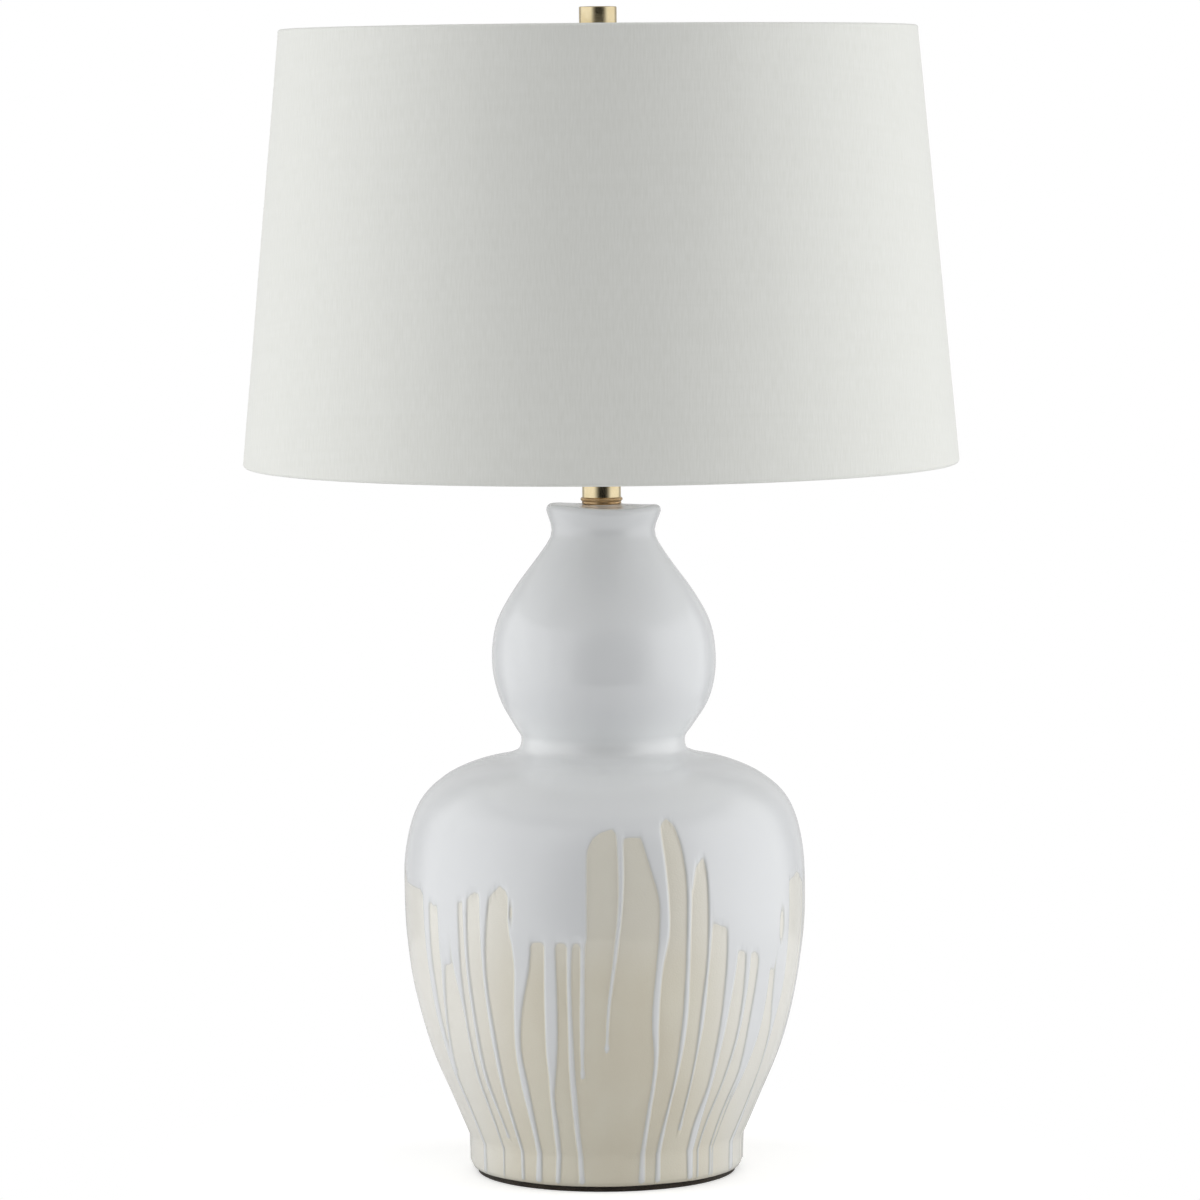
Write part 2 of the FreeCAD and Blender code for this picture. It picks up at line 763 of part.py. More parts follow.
lathe(
    "screw_shell",
    [
        ("contact_window_radius", "body_top"),
        ("screw_shell_radius", "body_top"),
        ("screw_shell_radius", screw_shell_top),
        ("screw_shell_bore", screw_shell_top),
        ("screw_shell_bore", screw_shell_floor),
        ("contact_window_radius", screw_shell_floor),
    ],
)
contact = [
    ("0", "body_top"),
    ("contact_radius", "body_top"),
    ("contact_radius", "contact_top"),
    ("0", "contact_top"),
]
lathe("centre_contact", contact)

# The turn knob, on the spindle of the switch
spindle = cylinder("switch_spindle", "spindle_radius", "spindle_length", (0, 0, 90), up="knob_axis")
tie(spindle, Placement_Base_y="-spindle_start")
keep("switch_spindle", spindle)
spindle_end = "spindle_start + spindle_length"
knob_end = "knob_start + knob_length"
knob = lathe(
    "switch_knob",
    [
        ("spindle_radius", "knob_start"),
        ("knob_radius", "knob_start"),
        ("knob_tip_radius", knob_end),
        ("0", knob_end),
        ("0", spindle_end),
        ("spindle_radius", spindle_end),
    ],
)
knob.Placement.Rotation = FreeCAD.Rotation(FreeCAD.Vector(1, 0, 0), 90)
tie(knob, Placement_Base_z="knob_axis")

# The bulb: a solder tip and a glass insulator under a screw cap, and a frosted globe
# around the stem that carries the filament
tip = [
    ("0", "contact_top"),
    ("bulb_tip_radius", "contact_top"),
    ("bulb_tip_radius", "tip_top"),
    ("0", "tip_top"),
]
lathe("bulb_tip", tip)
lathe(
    "bulb_insulator",
    [
        ("0", "tip_top"),
        ("bulb_tip_radius", "tip_top"),
        ("bulb_cap_radius", "insulator_top - bulb_wall"),
        ("bulb_cap_radius", "insulator_top"),
        ("0", "insulator_top"),
    ],
)
tube("bulb_cap", "bulb_cap_radius - bulb_cap_wall", "bulb_cap_radius", "insulator_top", "bulb_cap_top")
lathe(
    "bulb_glass",
    [
        ("bulb_neck_radius", "insulator_top"),
        ("bulb_neck_radius", "bulb_cap_top"),
        ("bulb_neck_radius", "bulb_neck_top", "pole"),
        ("bulb_radius", "bulb_flare_top", "pole"),
        ("bulb_radius", "bulb_top", "pole"),
        ("0", "bulb_top"),
        ("0", "bulb_top - bulb_wall"),
        ("bulb_radius - bulb_wall", "bulb_top - bulb_wall", "pole"),
        ("bulb_radius - bulb_wall", "bulb_flare_top", "pole"),
        ("bulb_neck_radius - bulb_wall", "bulb_neck_top", "pole"),
        ("bulb_neck_radius - bulb_wall", "bulb_cap_top"),
        ("bulb_neck_radius - bulb_wall", "insulator_top"),
    ],
)
lathe(
    "bulb_stem",
    [
        ("0", "insulator_top"),
        ("bulb_stem_radius", "insulator_top"),
        ("bulb_stem_tip_radius", "insulator_top", "pole"),
        ("bulb_stem_tip_radius", "stem_top"),
        ("0", "stem_top"),
    ],
)
lead = number("bulb_stem_tip_radius - filament_wire_radius * 2")
spread = number("filament_half_width")
stem_top = number("stem_top + filament_wire_radius")
filament_top = number("stem_top + filament_rise")
lead_up = [
    FreeCAD.Vector(lead, 0, stem_top),
    FreeCAD.Vector(spread, 0, filament_top),
    FreeCAD.Vector(-spread, 0, filament_top),
    FreeCAD.Vector(-lead, 0, stem_top),
]
lead_bend = number("filament_wire_radius * 4")
lead_path = bent_path(lead_up, [lead_bend, lead_bend])
lead_ring = Part.makeCircle(number("filament_wire_radius"), lead_up[0], lead_up[1] - lead_up[0])
filament = doc.addObject("Part::Feature", "bulb_filament")
filament.Shape = lead_path.makePipeShell([Part.Wire([lead_ring])], True, True)
keep("bulb_filament", filament)

# The shade: fabric glued on a stiff liner, hemmed over a wire ring at each end, and a
# spider that hangs it from the top ring
lathe(
    "shade_cover",
    [
        ("shade_bottom_radius - cover_thickness", "cover_base"),
        ("shade_bottom_radius", "cover_base"),
        ("shade_top_radius", "cover_top"),
        ("shade_top_radius - cover_thickness", "cover_top"),
    ],
)
liner_outer = " - cover_thickness - glue_gap"
lathe(
    "shade_liner",
    [
        ("shade_bottom_radius - liner_thickness" + liner_outer, "cover_base"),
        ("shade_bottom_radius" + liner_outer, "cover_base"),
        ("shade_top_radius" + liner_outer, "cover_top"),
        ("shade_top_radius - liner_thickness" + liner_outer, "cover_top"),
    ],
)
tube("spider_hub", "stud_radius + hub_hole_clearance", "hub_radius", "seat_top", "hub_top")
hub_middle_level = number("(seat_top + hub_top) / 2")
arm_start = number("hub_radius + glue_gap")
arm_end = number("top_wire_ring - ring_wire_radius - glue_gap")
arm_rise = number("top_wire_level") - hub_middle_level
arm_tilt = 90 - math.degrees(math.atan2(arm_rise, arm_end - arm_start))
arm_length = math.hypot(arm_rise, arm_end - arm_start)
slot_length = arm_length + number("ring_wire_radius + glue_gap")
arm_slots = []
for arm in range(int(number("arm_count"))):
    turn = 90 + 360 * arm / int(number("arm_count"))
    heading = FreeCAD.Rotation(turn, 0, 0)
    start = heading.multVec(FreeCAD.Vector(arm_start, 0, hub_middle_level))
    aim = heading.multiply(FreeCAD.Rotation(0, arm_tilt, 0))
    rod_name = f"spider_arm_{arm + 1}"
    rod = doc.addObject("Part::Cylinder", rod_name)
    tie(rod, Radius="arm_radius")
    rod.Height = arm_length
    slot = doc.addObject("Part::Cylinder", f"arm_slot_{arm + 1}")
    tie(slot, Radius="arm_radius + glue_gap")
    slot.Height = slot_length
    for member in (rod, slot):
        member.Placement = FreeCAD.Placement(start, aim)
    keep(rod_name, rod)
    arm_slots.append(slot)
for end in ("top", "bottom"):
    ring_at = (f"{end}_wire_ring", f"{end}_wire_level")
    keep(f"shade_{end}_wire", torus(f"shade_{end}_wire", ring_at[0], "ring_wire_radius", ring_at[1]))
    hem = torus(f"{end}_hem", ring_at[0], "hem_radius", ring_at[1])
    hollow = torus(f"{end}_hem_hollow", ring_at[0], "ring_wire_radius + glue_gap", ring_at[1])
    tools = joined(f"{end}_hem_cuts", [hollow, *arm_slots]) if end == "top" else hollow
    keep(f"shade_{end}_trim", less(f"shade_{end}_trim", hem, tools))

# The finial: a threaded collar on the stud, in a plain drum
lathe(
    "finial_collar",
    [
        ("stud_bore", "hub_top"),
        ("finial_collar_radius", "hub_top"),
        ("finial_collar_radius", "collar_top"),
        ("finial_spigot_radius", "collar_top"),
        ("finial_spigot_radius", "spigot_top"),
        ("stud_bore", "spigot_top"),
    ],
)
lathe(
    "finial_knob",
    [
        ("finial_spigot_radius + finial_clearance", "collar_top"),
        ("finial_radius", "collar_top"),
        ("finial_radius", "finial_top - finial_edge"),
        ("finial_radius", "finial_top", "pole"),
        ("finial_radius - finial_edge", "finial_top"),
        ("0", "finial_top"),
        ("0", "spigot_roof"),
        ("finial_spigot_radius + finial_clearance", "spigot_roof"),
    ],
)

doc.recompute()
for thing in doc.Objects:
    if "Invalid" in thing.State or "Error" in thing.State:
        raise RuntimeError(f"{thing.Name} is {thing.State}")
os.makedirs("parts", exist_ok=True)
for label, thing in pieces.items():
    shape = thing.Shape
    if shape.isNull() or not shape.isValid():
        raise RuntimeError(f"{label} has no valid shape")
    shape.exportStep(f"parts/{label}.step")
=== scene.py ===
import bpy
import math
import numpy as np
import random
from mathutils import Matrix, Vector


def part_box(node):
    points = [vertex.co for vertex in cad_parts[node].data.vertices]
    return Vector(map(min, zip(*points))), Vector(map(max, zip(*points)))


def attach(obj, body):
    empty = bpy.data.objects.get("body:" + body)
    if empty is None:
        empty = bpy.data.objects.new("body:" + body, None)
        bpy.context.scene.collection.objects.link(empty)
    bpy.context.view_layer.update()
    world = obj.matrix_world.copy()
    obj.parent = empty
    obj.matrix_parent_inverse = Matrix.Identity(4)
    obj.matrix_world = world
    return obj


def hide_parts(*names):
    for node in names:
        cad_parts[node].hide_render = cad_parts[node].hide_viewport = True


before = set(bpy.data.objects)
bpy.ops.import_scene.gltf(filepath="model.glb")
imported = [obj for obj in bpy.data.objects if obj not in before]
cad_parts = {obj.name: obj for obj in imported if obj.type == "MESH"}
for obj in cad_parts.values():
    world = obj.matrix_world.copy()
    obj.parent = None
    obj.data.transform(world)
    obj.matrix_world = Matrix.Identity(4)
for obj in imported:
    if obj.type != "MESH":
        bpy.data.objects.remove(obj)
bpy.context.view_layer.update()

# Felt pad: a 3 mm disc of black-brown wool felt, punched out and glued under the foot so that the
# fired clay doesn't scratch the table. Its cut rim is rounded by wear and slightly furry.


class Signal:
    """A shader socket that joins in plain arithmetic, where each step adds a Math node."""

    def __init__(self, tree, socket=None):
        self.tree = tree
        self.socket = socket

    def node(self, kind, settings, sockets, output=0):
        """Adds a node of any kind, first its settings, then the values or links of its sockets."""
        made = self.tree.nodes.new("ShaderNode" + kind)
        for name, value in settings.items():
            setattr(made, name, value)
        for name, value in sockets.items():
            if isinstance(value, Signal):
                self.tree.links.new(value.socket, made.inputs[name])
            else:
                made.inputs[name].default_value = value
        return Signal(self.tree, made.outputs[output] if made.outputs else None)

    def math(self, operation, *terms):
        return self.node("Math", {"operation": operation}, dict(enumerate(terms)))

    def __add__(self, other):
        return self.math("ADD", self, other)

    __radd__ = __add__

    def __sub__(self, other):
        return self.math("SUBTRACT", self, other)

    def __rsub__(self, other):
        return self.math("SUBTRACT", other, self)

    def __mul__(self, other):
        return self.math("MULTIPLY", self, other)

    __rmul__ = __mul__


def paint(red, green, blue):
    """A colour as the eye reads it, 0 to 255 each, made linear for the shader."""
    levels = [level / 255 for level in (red, green, blue)]
    linear = [x / 12.92 if x <= 0.04045 else ((x + 0.055) / 1.055) ** 2.4 for x in levels]
    return (*linear, 1.0)


def step(signal, low, high):
    """0 below low, 1 above high, and a smooth rise between them."""
    return signal.node(
        "MapRange",
        {"interpolation_type": "SMOOTHSTEP"},
        {"Value": signal, "From Min": low, "From Max": high},
    )


def mix(mask, first, second):
    """The first colour where the mask is 0, the second where it is 1."""
    return mask.node("Mix", {"data_type": "RGBA"}, {0: mask, 6: first, 7: second}, output=2)


def scaled(place, *stretch):
    """The same place with each axis multiplied, so that spots are drawn out along one of them."""
    return place.node("VectorMath", {"operation": "MULTIPLY"}, {0: place, 1: stretch})


def spots(place, size, detail=2.0):
    """Cloudy random spots, 0 to 1, about size metres across."""
    return place.node("TexNoise", {}, {"Vector": place, "Scale": 1 / size, "Detail": detail})


def bump(height, depth, strength=1.0):
    """The normal of a surface that rises by depth metres where height is 1."""
    return height.node("Bump", {}, {"Height": height, "Distance": depth, "Strength": strength})


def finish(recipe):
    """Makes a material from a function that gives the shader's sockets by name."""
    material = bpy.data.materials.new(recipe.__name__)
    material.use_nodes = True
    tree = material.node_tree
    shader = tree.nodes["Principled BSDF"]
    place = Signal(tree).node("TexCoord", {}, {}, output="Object")
    for name, value in recipe(place).items():
        if isinstance(value, Signal):
            tree.links.new(value.socket, shader.inputs[name])
        else:
            shader.inputs[name].default_value = value
    return material


def around(angles, radius, height):
    """Points on a ring about the lamp's axis; angles run from the front to the right, in radians."""
    angles, radius, height = np.broadcast_arrays(angles, radius, height)
    return np.stack([radius * np.sin(angles), -radius * np.cos(angles), height], axis=-1)


def even_angles(count):
    """Angles in even steps all the way round."""
    return np.arange(count) * (2 * math.pi / count)


def skin(name, rings, closed=False, creases=40):
    """A mesh over rings of points. A ring has as many points as the next, or a whole multiple."""
    starts = np.cumsum([0] + [len(ring) for ring in rings])
    pairs = list(zip(range(len(rings) - 1), range(1, len(rings))))
    if closed:
        pairs.append((len(rings) - 1, 0))
    faces = []
    for low, high in pairs:
        low_count, high_count = len(rings[low]), len(rings[high])
        cells = max(low_count, high_count)
        for cell in range(cells):
            corners = [
                starts[low] + cell * low_count // cells,
                starts[low] + (cell + 1) * low_count // cells % low_count,
                starts[high] + (cell + 1) * high_count // cells % high_count,
                starts[high] + cell * high_count // cells,
            ]
            faces.append(list(dict.fromkeys(int(corner) for corner in corners)))
    mesh = bpy.data.meshes.new(name)
    mesh.from_pydata(np.concatenate(rings).tolist(), [], faces)
    mesh.shade_smooth()
    mesh.set_sharp_from_angle(angle=math.radians(creases))
    made = bpy.data.objects.new(name, mesh)
    bpy.context.scene.collection.objects.link(made)
    return made


def fit(piece, material, body, slot, *nodes):
    """Gives a piece its finish and its place on a body, and the nodes that it stands for."""
    piece.data.materials.append(material)
    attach(piece, body)
    if nodes:
        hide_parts(*nodes)
    return piece


@finish
def black_felt(place):
    fibres = spots(place, 0.0007, 4)
    clouds = spots(place, 0.012, 3)
    colour = mix(step(fibres * 0.7 + clouds * 0.3, 0.3, 0.7), paint(39, 35, 32), paint(71, 64, 57))
    return {
        "Base Color": colour,
        "Roughness": 0.95,
        "Specular IOR Level": 0.2,
        "Sheen Weight": 0.2,
        "Sheen Roughness": 0.5,
        "Normal": bump(fibres, 0.0006),
    }


FRAY = 0.00012
pad_low, pad_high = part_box("felt_pad")
pad_radius = pad_high.x
pad_edge = 0.0006
pad_angles = even_angles(240)
fray = np.random.default_rng(3).normal(0, FRAY, len(pad_angles))
# The pad's section from the middle of its underside, as radius and height
pad_section = [
    (0, pad_low.z),
    (pad_radius * 0.5, pad_low.z),
    (pad_radius - pad_edge, pad_low.z),
    (pad_radius - pad_edge * 0.3, pad_low.z + pad_edge * 0.4),
    (pad_radius, pad_low.z + pad_edge * 1.6),
    (pad_radius - pad_edge * 0.2, pad_high.z - pad_edge),
    (pad_radius - pad_edge, pad_high.z),
    (pad_radius * 0.5, pad_high.z),
    (0, pad_high.z),
]
pad_rings = []
for radius, height in pad_section:
    if radius == 0:
        pad_rings.append(np.array([[0.0, 0.0, height]]))
    else:
        worn = np.minimum(fray, 0) if radius > pad_radius * 0.9 else 0
        pad_rings.append(around(pad_angles, radius + worn, height))
fit(skin("felt_disc", pad_rings), black_felt, "base", "felt", "felt_pad")

# Double gourd body: thrown and joined stoneware, fired bare at the foot and dipped upside down in
# a thick white gloss glaze that ran in long drips over the buff clay. The glaze is about 1 mm deep
# with rounded rims. The inside is hollow, with a ledge over the foot that takes the clamp.

WALL = 0.007
GLAZE_DEPTH = 0.00095
GLAZE_RIM = 0.0024
CLAY_DEPTH = 0.0004
RIPPLE = 0.00006
# Share of the glaze's depth that ran off while it was wet, by height in metres
RUN_OFF = [(0.22, 0), (0.30, 0.6), (0.36, 0.6), (0.40, 0.1), (0.425, 0.1), (0.445, 0.5)]
# How far the glaze fills or leaves the waist, as height and change of radius in mm
WAIST_FILL = [
    (262, 0), (268, 0.2), (273, 1.7), (277, 2.1), (280, 1.8), (282, 2.0), (284, 2.0), (286, -0.6),
    (288, -1.8), (290, -1.4), (293, -0.4), (296, 0.6), (299, 0.9), (302, -0.1), (306, -0.5),
    (312, -0.3), (318, 0),
]
# How wide the outline is rubbed smooth there, in half millimetres, and over which heights
WAIST_RUBS = [(19, (0.262, 0.270, 0.306, 0.316)), (61, (0.270, 0.277, 0.2822, 0.2872))]
# The front, over which curtain and drips are placed one by one, in degrees to either side
FRONT_SPAN = 78
# The mesh: columns in front and behind, and rings from the foot to each height and over the lip
FINE_SPAN = 75
FRONT_COLUMNS = 624
BACK_COLUMNS = 246
DRIP_TOP, DRIP_RINGS = 0.258, 75
SHOULDER_TOP, SHOULDER_RINGS = 0.275, 8
WAIST_TOP, WAIST_RINGS = 0.304, 31
UPPER_RINGS = 34
LIP_RUN, LIP_RINGS = 0.011, 12
# The lip's unevenness starts at this height and is whole a little higher
LIP_FOOT, LIP_RISE = 0.434, 0.017
# Widest radius in mm, at which widths on the surface are measured
BELLY = 133
# Depths in mm that stand for all glaze and for all clay
DIPPED, BARE = 20.0, -20.0
# No clay is bare above this height
ALL_GLAZED = 0.27
# How far the hand-pressed lip stands over the flat top, in mm, every 30 degrees from the back
LIP_WAVE = [-3.6, -2.2, 0.0, 0.3, 0.6, -0.1, -1.2, -1.2, -0.6, -0.6, -1.9, -4.4, -3.6]
# How far each level stands off the axis, to the right, as thrown clay does: height and shift in mm
OFF_TRUE = [
    (0, 0), (235, 0), (262, 0), (285, -0.6), (300, 0.1), (321, 1.0), (352, 0.75), (390, 0.25),
    (416, 0.1), (437, 0.9), (452, 1.4), (460, 1.4),
]


def smooth(at, knots, values):
    """A smooth curve through a few values at their knots."""
    at, knots, values = (np.asarray(x, float) for x in (at, knots, values))
    slopes = np.gradient(values, knots)
    index = np.clip(np.searchsorted(knots, at) - 1, 0, len(knots) - 2)
    span = knots[index + 1] - knots[index]
    t = np.clip((at - knots[index]) / span, 0, 1)
    rise = values[index + 1] - values[index]
    bend = slopes[index] * span * t * (1 - t) ** 2 - slopes[index + 1] * span * t * t * (1 - t)
    return values[index] + rise * t * t * (3 - 2 * t) + bend


def union(first, second, fillet):
    """The larger of two depths, with a fillet where they are alike."""
    share = np.clip(0.5 + 0.5 * (first - second) / fillet, 0, 1)
    return second + (first - second) * share + fillet * share * (1 - share)


def gourd_outline():
    """The outer outline of the body as radius and height, from the front half of its section."""
    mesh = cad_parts["ceramic_body"].data
    found = {}
    for vertex in mesh.vertices:
        x, y, z = vertex.co
        if abs(y) < 1e-7 and x > 0 and vertex.normal.x > 0.02:
            found[round(z, 6)] = x
    levels = np.array(sorted(found))
    reaches = np.array([found[level] for level in levels])
    filled, fill = zip(*WAIST_FILL)
    waist = np.arange(filled[0], filled[-1], 0.5) / 1000
    heights = np.union1d(levels, waist)
    change = smooth(heights * 1000, filled, fill) / 1000
    reaches = np.interp(heights, levels, reaches) + change
    run = np.concatenate([[0], np.cumsum(np.hypot(np.diff(reaches), np.diff(heights)))])
    steps = np.linspace(0, run[-1], round(run[-1] / 0.0005))
    reaches, heights = np.interp(steps, run, reaches), np.interp(steps, run, heights)
    for width, span in WAIST_RUBS:
        kernel = np.hanning(width) / np.hanning(width).sum()
        soft_reaches = np.convolve(np.pad(reaches, width // 2, mode="edge"), kernel, mode="valid")
        soft_heights = np.convolve(np.pad(heights, width // 2, mode="edge"), kernel, mode="valid")
        share = np.interp(heights, span, (0, 1, 1, 0))
        reaches = reaches + (soft_reaches - reaches) * share
        heights = heights + (soft_heights - heights) * share
    return reaches, heights


# The glaze's lower edge between the drips, as angle from the front in degrees and height in mm
CURTAIN = [
    (-78, 201), (-66, 200), (-57, 191), (-50, 198), (-45.2, 197), (-39.6, 204), (-34, 203),
    (-30.8, 210), (-27.5, 204), (-22, 232), (-5, 236), (-3.2, 243), (-1, 246.5), (2.4, 248.5),
    (5.4, 243), (9.8, 243), (14, 247), (17, 251), (19.2, 254), (21, 250), (23, 236), (25.2, 207),
    (26.8, 222), (29.2, 228), (30.4, 220), (31.6, 185), (34, 182), (37, 180), (41.2, 164),
    (44, 162), (48, 161), (54, 150), (58, 146), (61, 190), (66, 204), (73, 208), (78, 200),
]
# Each drip's tip in mm and, from the top down, its height in mm, angle and half-width in degrees
DRIPS = [
    (153, [(230, -52.4, 3.2), (153, -52.4, 2.6)]),
    (5, [(230, -61.6, 2.6), (190, -61.6, 2.0), (90, -61.2, 1.5), (60, -61.4, 1.1), (5, -62, 1.5)]),
    (76, [(153, -54.0, 1.2), (132, -55.5, 0.9), (101, -57.9, 0.8), (76, -60.8, 1.2)]),
    (5, [(215, -48.2, 2.4), (158, -47.7, 1.9), (123, -46.8, 0.8), (70, -47.6, 0.8), (5, -48.2, 0.6)]),
    (33, [(215, -43.2, 1.3), (180, -43.3, 0.9), (100, -43.3, 0.9), (81, -43.8, 1.0), (33, -42.5, 0.6)]),
    (5, [(215, -35.8, 2.2), (167, -36.9, 0.9), (95, -36.7, 1.0), (61, -37.4, 0.9), (5, -37.4, 1.0)]),
    (5, [(187, -24.5, 3.7), (158, -24.4, 2.5), (123, -26.9, 1.3), (101, -28.1, 1.1), (75, -28.2, 1.4),
         (39, -28.6, 1.2), (5, -29.5, 1.7)]),
    (174, [(245, -16.4, 11.2), (174, -16.4, 11.2)]),
    (5, [(180, -15.6, 1.6), (127, -16.2, 2.0), (101, -16.9, 1.9), (77, -18.0, 1.1), (68, -18.7, 0.9),
         (48, -19.2, 1.1), (5, -20.8, 1.2)]),
    (5, [(180, -9.8, 0.9), (158, -10.3, 0.7), (114, -10.6, 0.8), (83, -10.9, 1.05), (35, -11, 1.1),
         (5, -10.3, 1.3)]),
    (81, [(180, -6.2, 0.7), (147, -6.6, 0.7), (120, -7.0, 0.8), (81, -7.6, 0.5)]),
    (99, [(250, 4.5, 1.1), (202, 4.4, 0.7), (167, 2.9, 0.6), (127, 0.8, 0.5), (99, 0.2, 0.45)]),
    (5, [(243, 13.8, 3.2), (224, 15.2, 2.4), (202, 16.7, 1.5), (180, 16.8, 1.6), (158, 15.6, 1.1),
         (118, 14.9, 1.1), (96, 15.8, 0.8), (57, 15.4, 0.85), (35, 15.0, 1.0), (5, 14.5, 1.5)]),
    (5, [(243, 23.8, 1.3), (217, 24.3, 0.9), (170, 24.1, 0.7), (114, 24.1, 0.9), (57, 22.6, 0.65),
         (35, 21.8, 1.0), (5, 21.5, 1.3)]),
    (41, [(225, 31.2, 1.2), (180, 30.9, 0.7), (149, 30.4, 0.6), (127, 30.0, 0.85), (90, 29.5, 0.5),
          (41, 29.0, 0.6)]),
    (5, [(190, 39.2, 2.6), (158, 38.9, 2.1), (122, 38.1, 1.5), (96, 37.6, 1.2), (70, 37.4, 1.05),
         (44, 36.6, 1.8), (5, 37.0, 1.5)]),
    (5, [(170, 45.2, 1.3), (107, 44.8, 0.8), (70, 42.9, 0.55), (39, 41.0, 0.6), (5, 41.0, 0.6)]),
    (5, [(170, 53.0, 2.7), (100, 52.2, 3.2), (76, 51.5, 1.6), (62, 50.8, 0.7), (5, 49.6, 0.6)]),
    (5, [(80, 50.4, 0.7), (55, 48.5, 0.6), (5, 48.0, 0.6)]),
    (5, [(200, 62.3, 3.4), (125, 62.5, 3.0), (107, 62.9, 1.5), (60, 63.8, 0.8), (40, 64.3, 1.6),
         (5, 64.5, 2.2)]),
]
# Bare spots in the glaze: angle, height in mm, half-width in degrees and half-height in mm
PINHOLES = [(-27.2, 193, 0.3, 3.4), (61, 176, 1.0, 9)]


def unseen_drips(seed):
    """Goes on with curtain and drips round the back, between the two ends of the front."""
    chance = random.Random(seed)
    angle = FRONT_SPAN + 3.0
    drips, curtain = [], []
    while angle < 360 - FRONT_SPAN - 4:
        broad = chance.random() < 0.25
        half = chance.uniform(1.8, 3.2) if broad else chance.uniform(0.6, 1.5)
        tip = chance.uniform(30, 150) if chance.random() < 0.35 else 5
        drift = chance.uniform(-1.4, 1.4)
        top = chance.uniform(165, 245)
        stretch = [(top + 25, angle, half + 0.8)]
        for height in (190, 150, 110, 75, 45, tip):
            if top > height > tip or height == tip:
                swell = chance.uniform(0.8, 1.15) * half * (0.45 + 0.55 * (height / 200))
                drift += chance.uniform(-0.5, 0.5)
                stretch.append((height, angle + drift, max(swell, 0.5)))
        drips.append((tip, stretch))
        window = chance.uniform(2.2, 8.5)
        curtain.append((angle + half, top - 4))
        curtain.append((angle + half + window / 2, top + chance.uniform(0, 8)))
        angle += half + window + chance.uniform(0.8, 2.2)
    return drips, curtain


back_drips, back_curtain = unseen_drips(11)
curtain = sorted(CURTAIN + [(a if a < 180 else a - 360, top) for a, top in back_curtain])
EDGE_STEP = 0.1
edge_angles = np.arange(-180, 180, EDGE_STEP)
curtain_edge = np.interp(edge_angles, *zip(*curtain), period=360)
rub = np.hanning(13)
curtain_edge = np.convolve(np.pad(curtain_edge, 6, mode="wrap"), rub / rub.sum(), mode="valid")
edge_lean = np.hypot(1, np.gradient(curtain_edge, np.radians(EDGE_STEP) * BELLY))


def glaze_depth_at(angles, heights, radii):
    """How far inside the glaze a point lies, in mm; negative on bare clay."""
    depth = heights - np.interp(angles, edge_angles, curtain_edge, period=360)
    depth = depth / np.interp(angles, edge_angles, edge_lean, period=360)
    for tip, stretch in DRIPS + back_drips:
        levels, middles, halves = (np.array(column, float) for column in zip(*stretch[::-1]))
        middle = smooth(heights, levels, middles)
        half = smooth(heights, levels, halves)
        if tip > 20 and halves[0] < 2:
            # A thin drip that stopped on the way ends in a bead
            half = half + 0.45 * np.exp(-((heights - tip - 2.6) / 2.4) ** 2)
        arc = np.abs((angles - middle + 180) % 360 - 180)
        inside = np.radians(half - arc) * radii * 1000
        corner = np.minimum(np.radians(half) * radii * 1000, 4.0)
        over_tip = heights - tip
        outside_side = corner - inside
        outside_tip = corner - over_tip
        rounded = np.hypot(np.maximum(outside_side, 0), np.maximum(outside_tip, 0))
        inner = np.minimum(np.maximum(outside_side, outside_tip), 0)
        strand = corner - rounded - inner
        depth = union(depth, strand, 3.0)
    for angle, height, half, tall in PINHOLES:
        across = np.radians(angles - angle) * radii * 1000 / (np.radians(half) * BELLY)
        hole = np.hypot(across, (heights - height) / tall) - 1
        depth = np.minimum(depth, hole * np.radians(half) * BELLY)
    return depth


def lip_wave(angles):
    """How far the lip stands over the flat top, in metres."""
    degrees = (np.degrees(angles) + 180) % 360 - 180
    return smooth(degrees, np.arange(-180, 181, 30), LIP_WAVE) / 1000


def off_true(level):
    """How far a level stands off the axis, to the right, in metres."""
    levels, shifts = zip(*OFF_TRUE)
    return float(smooth(level * 1000, levels, shifts)) / 1000


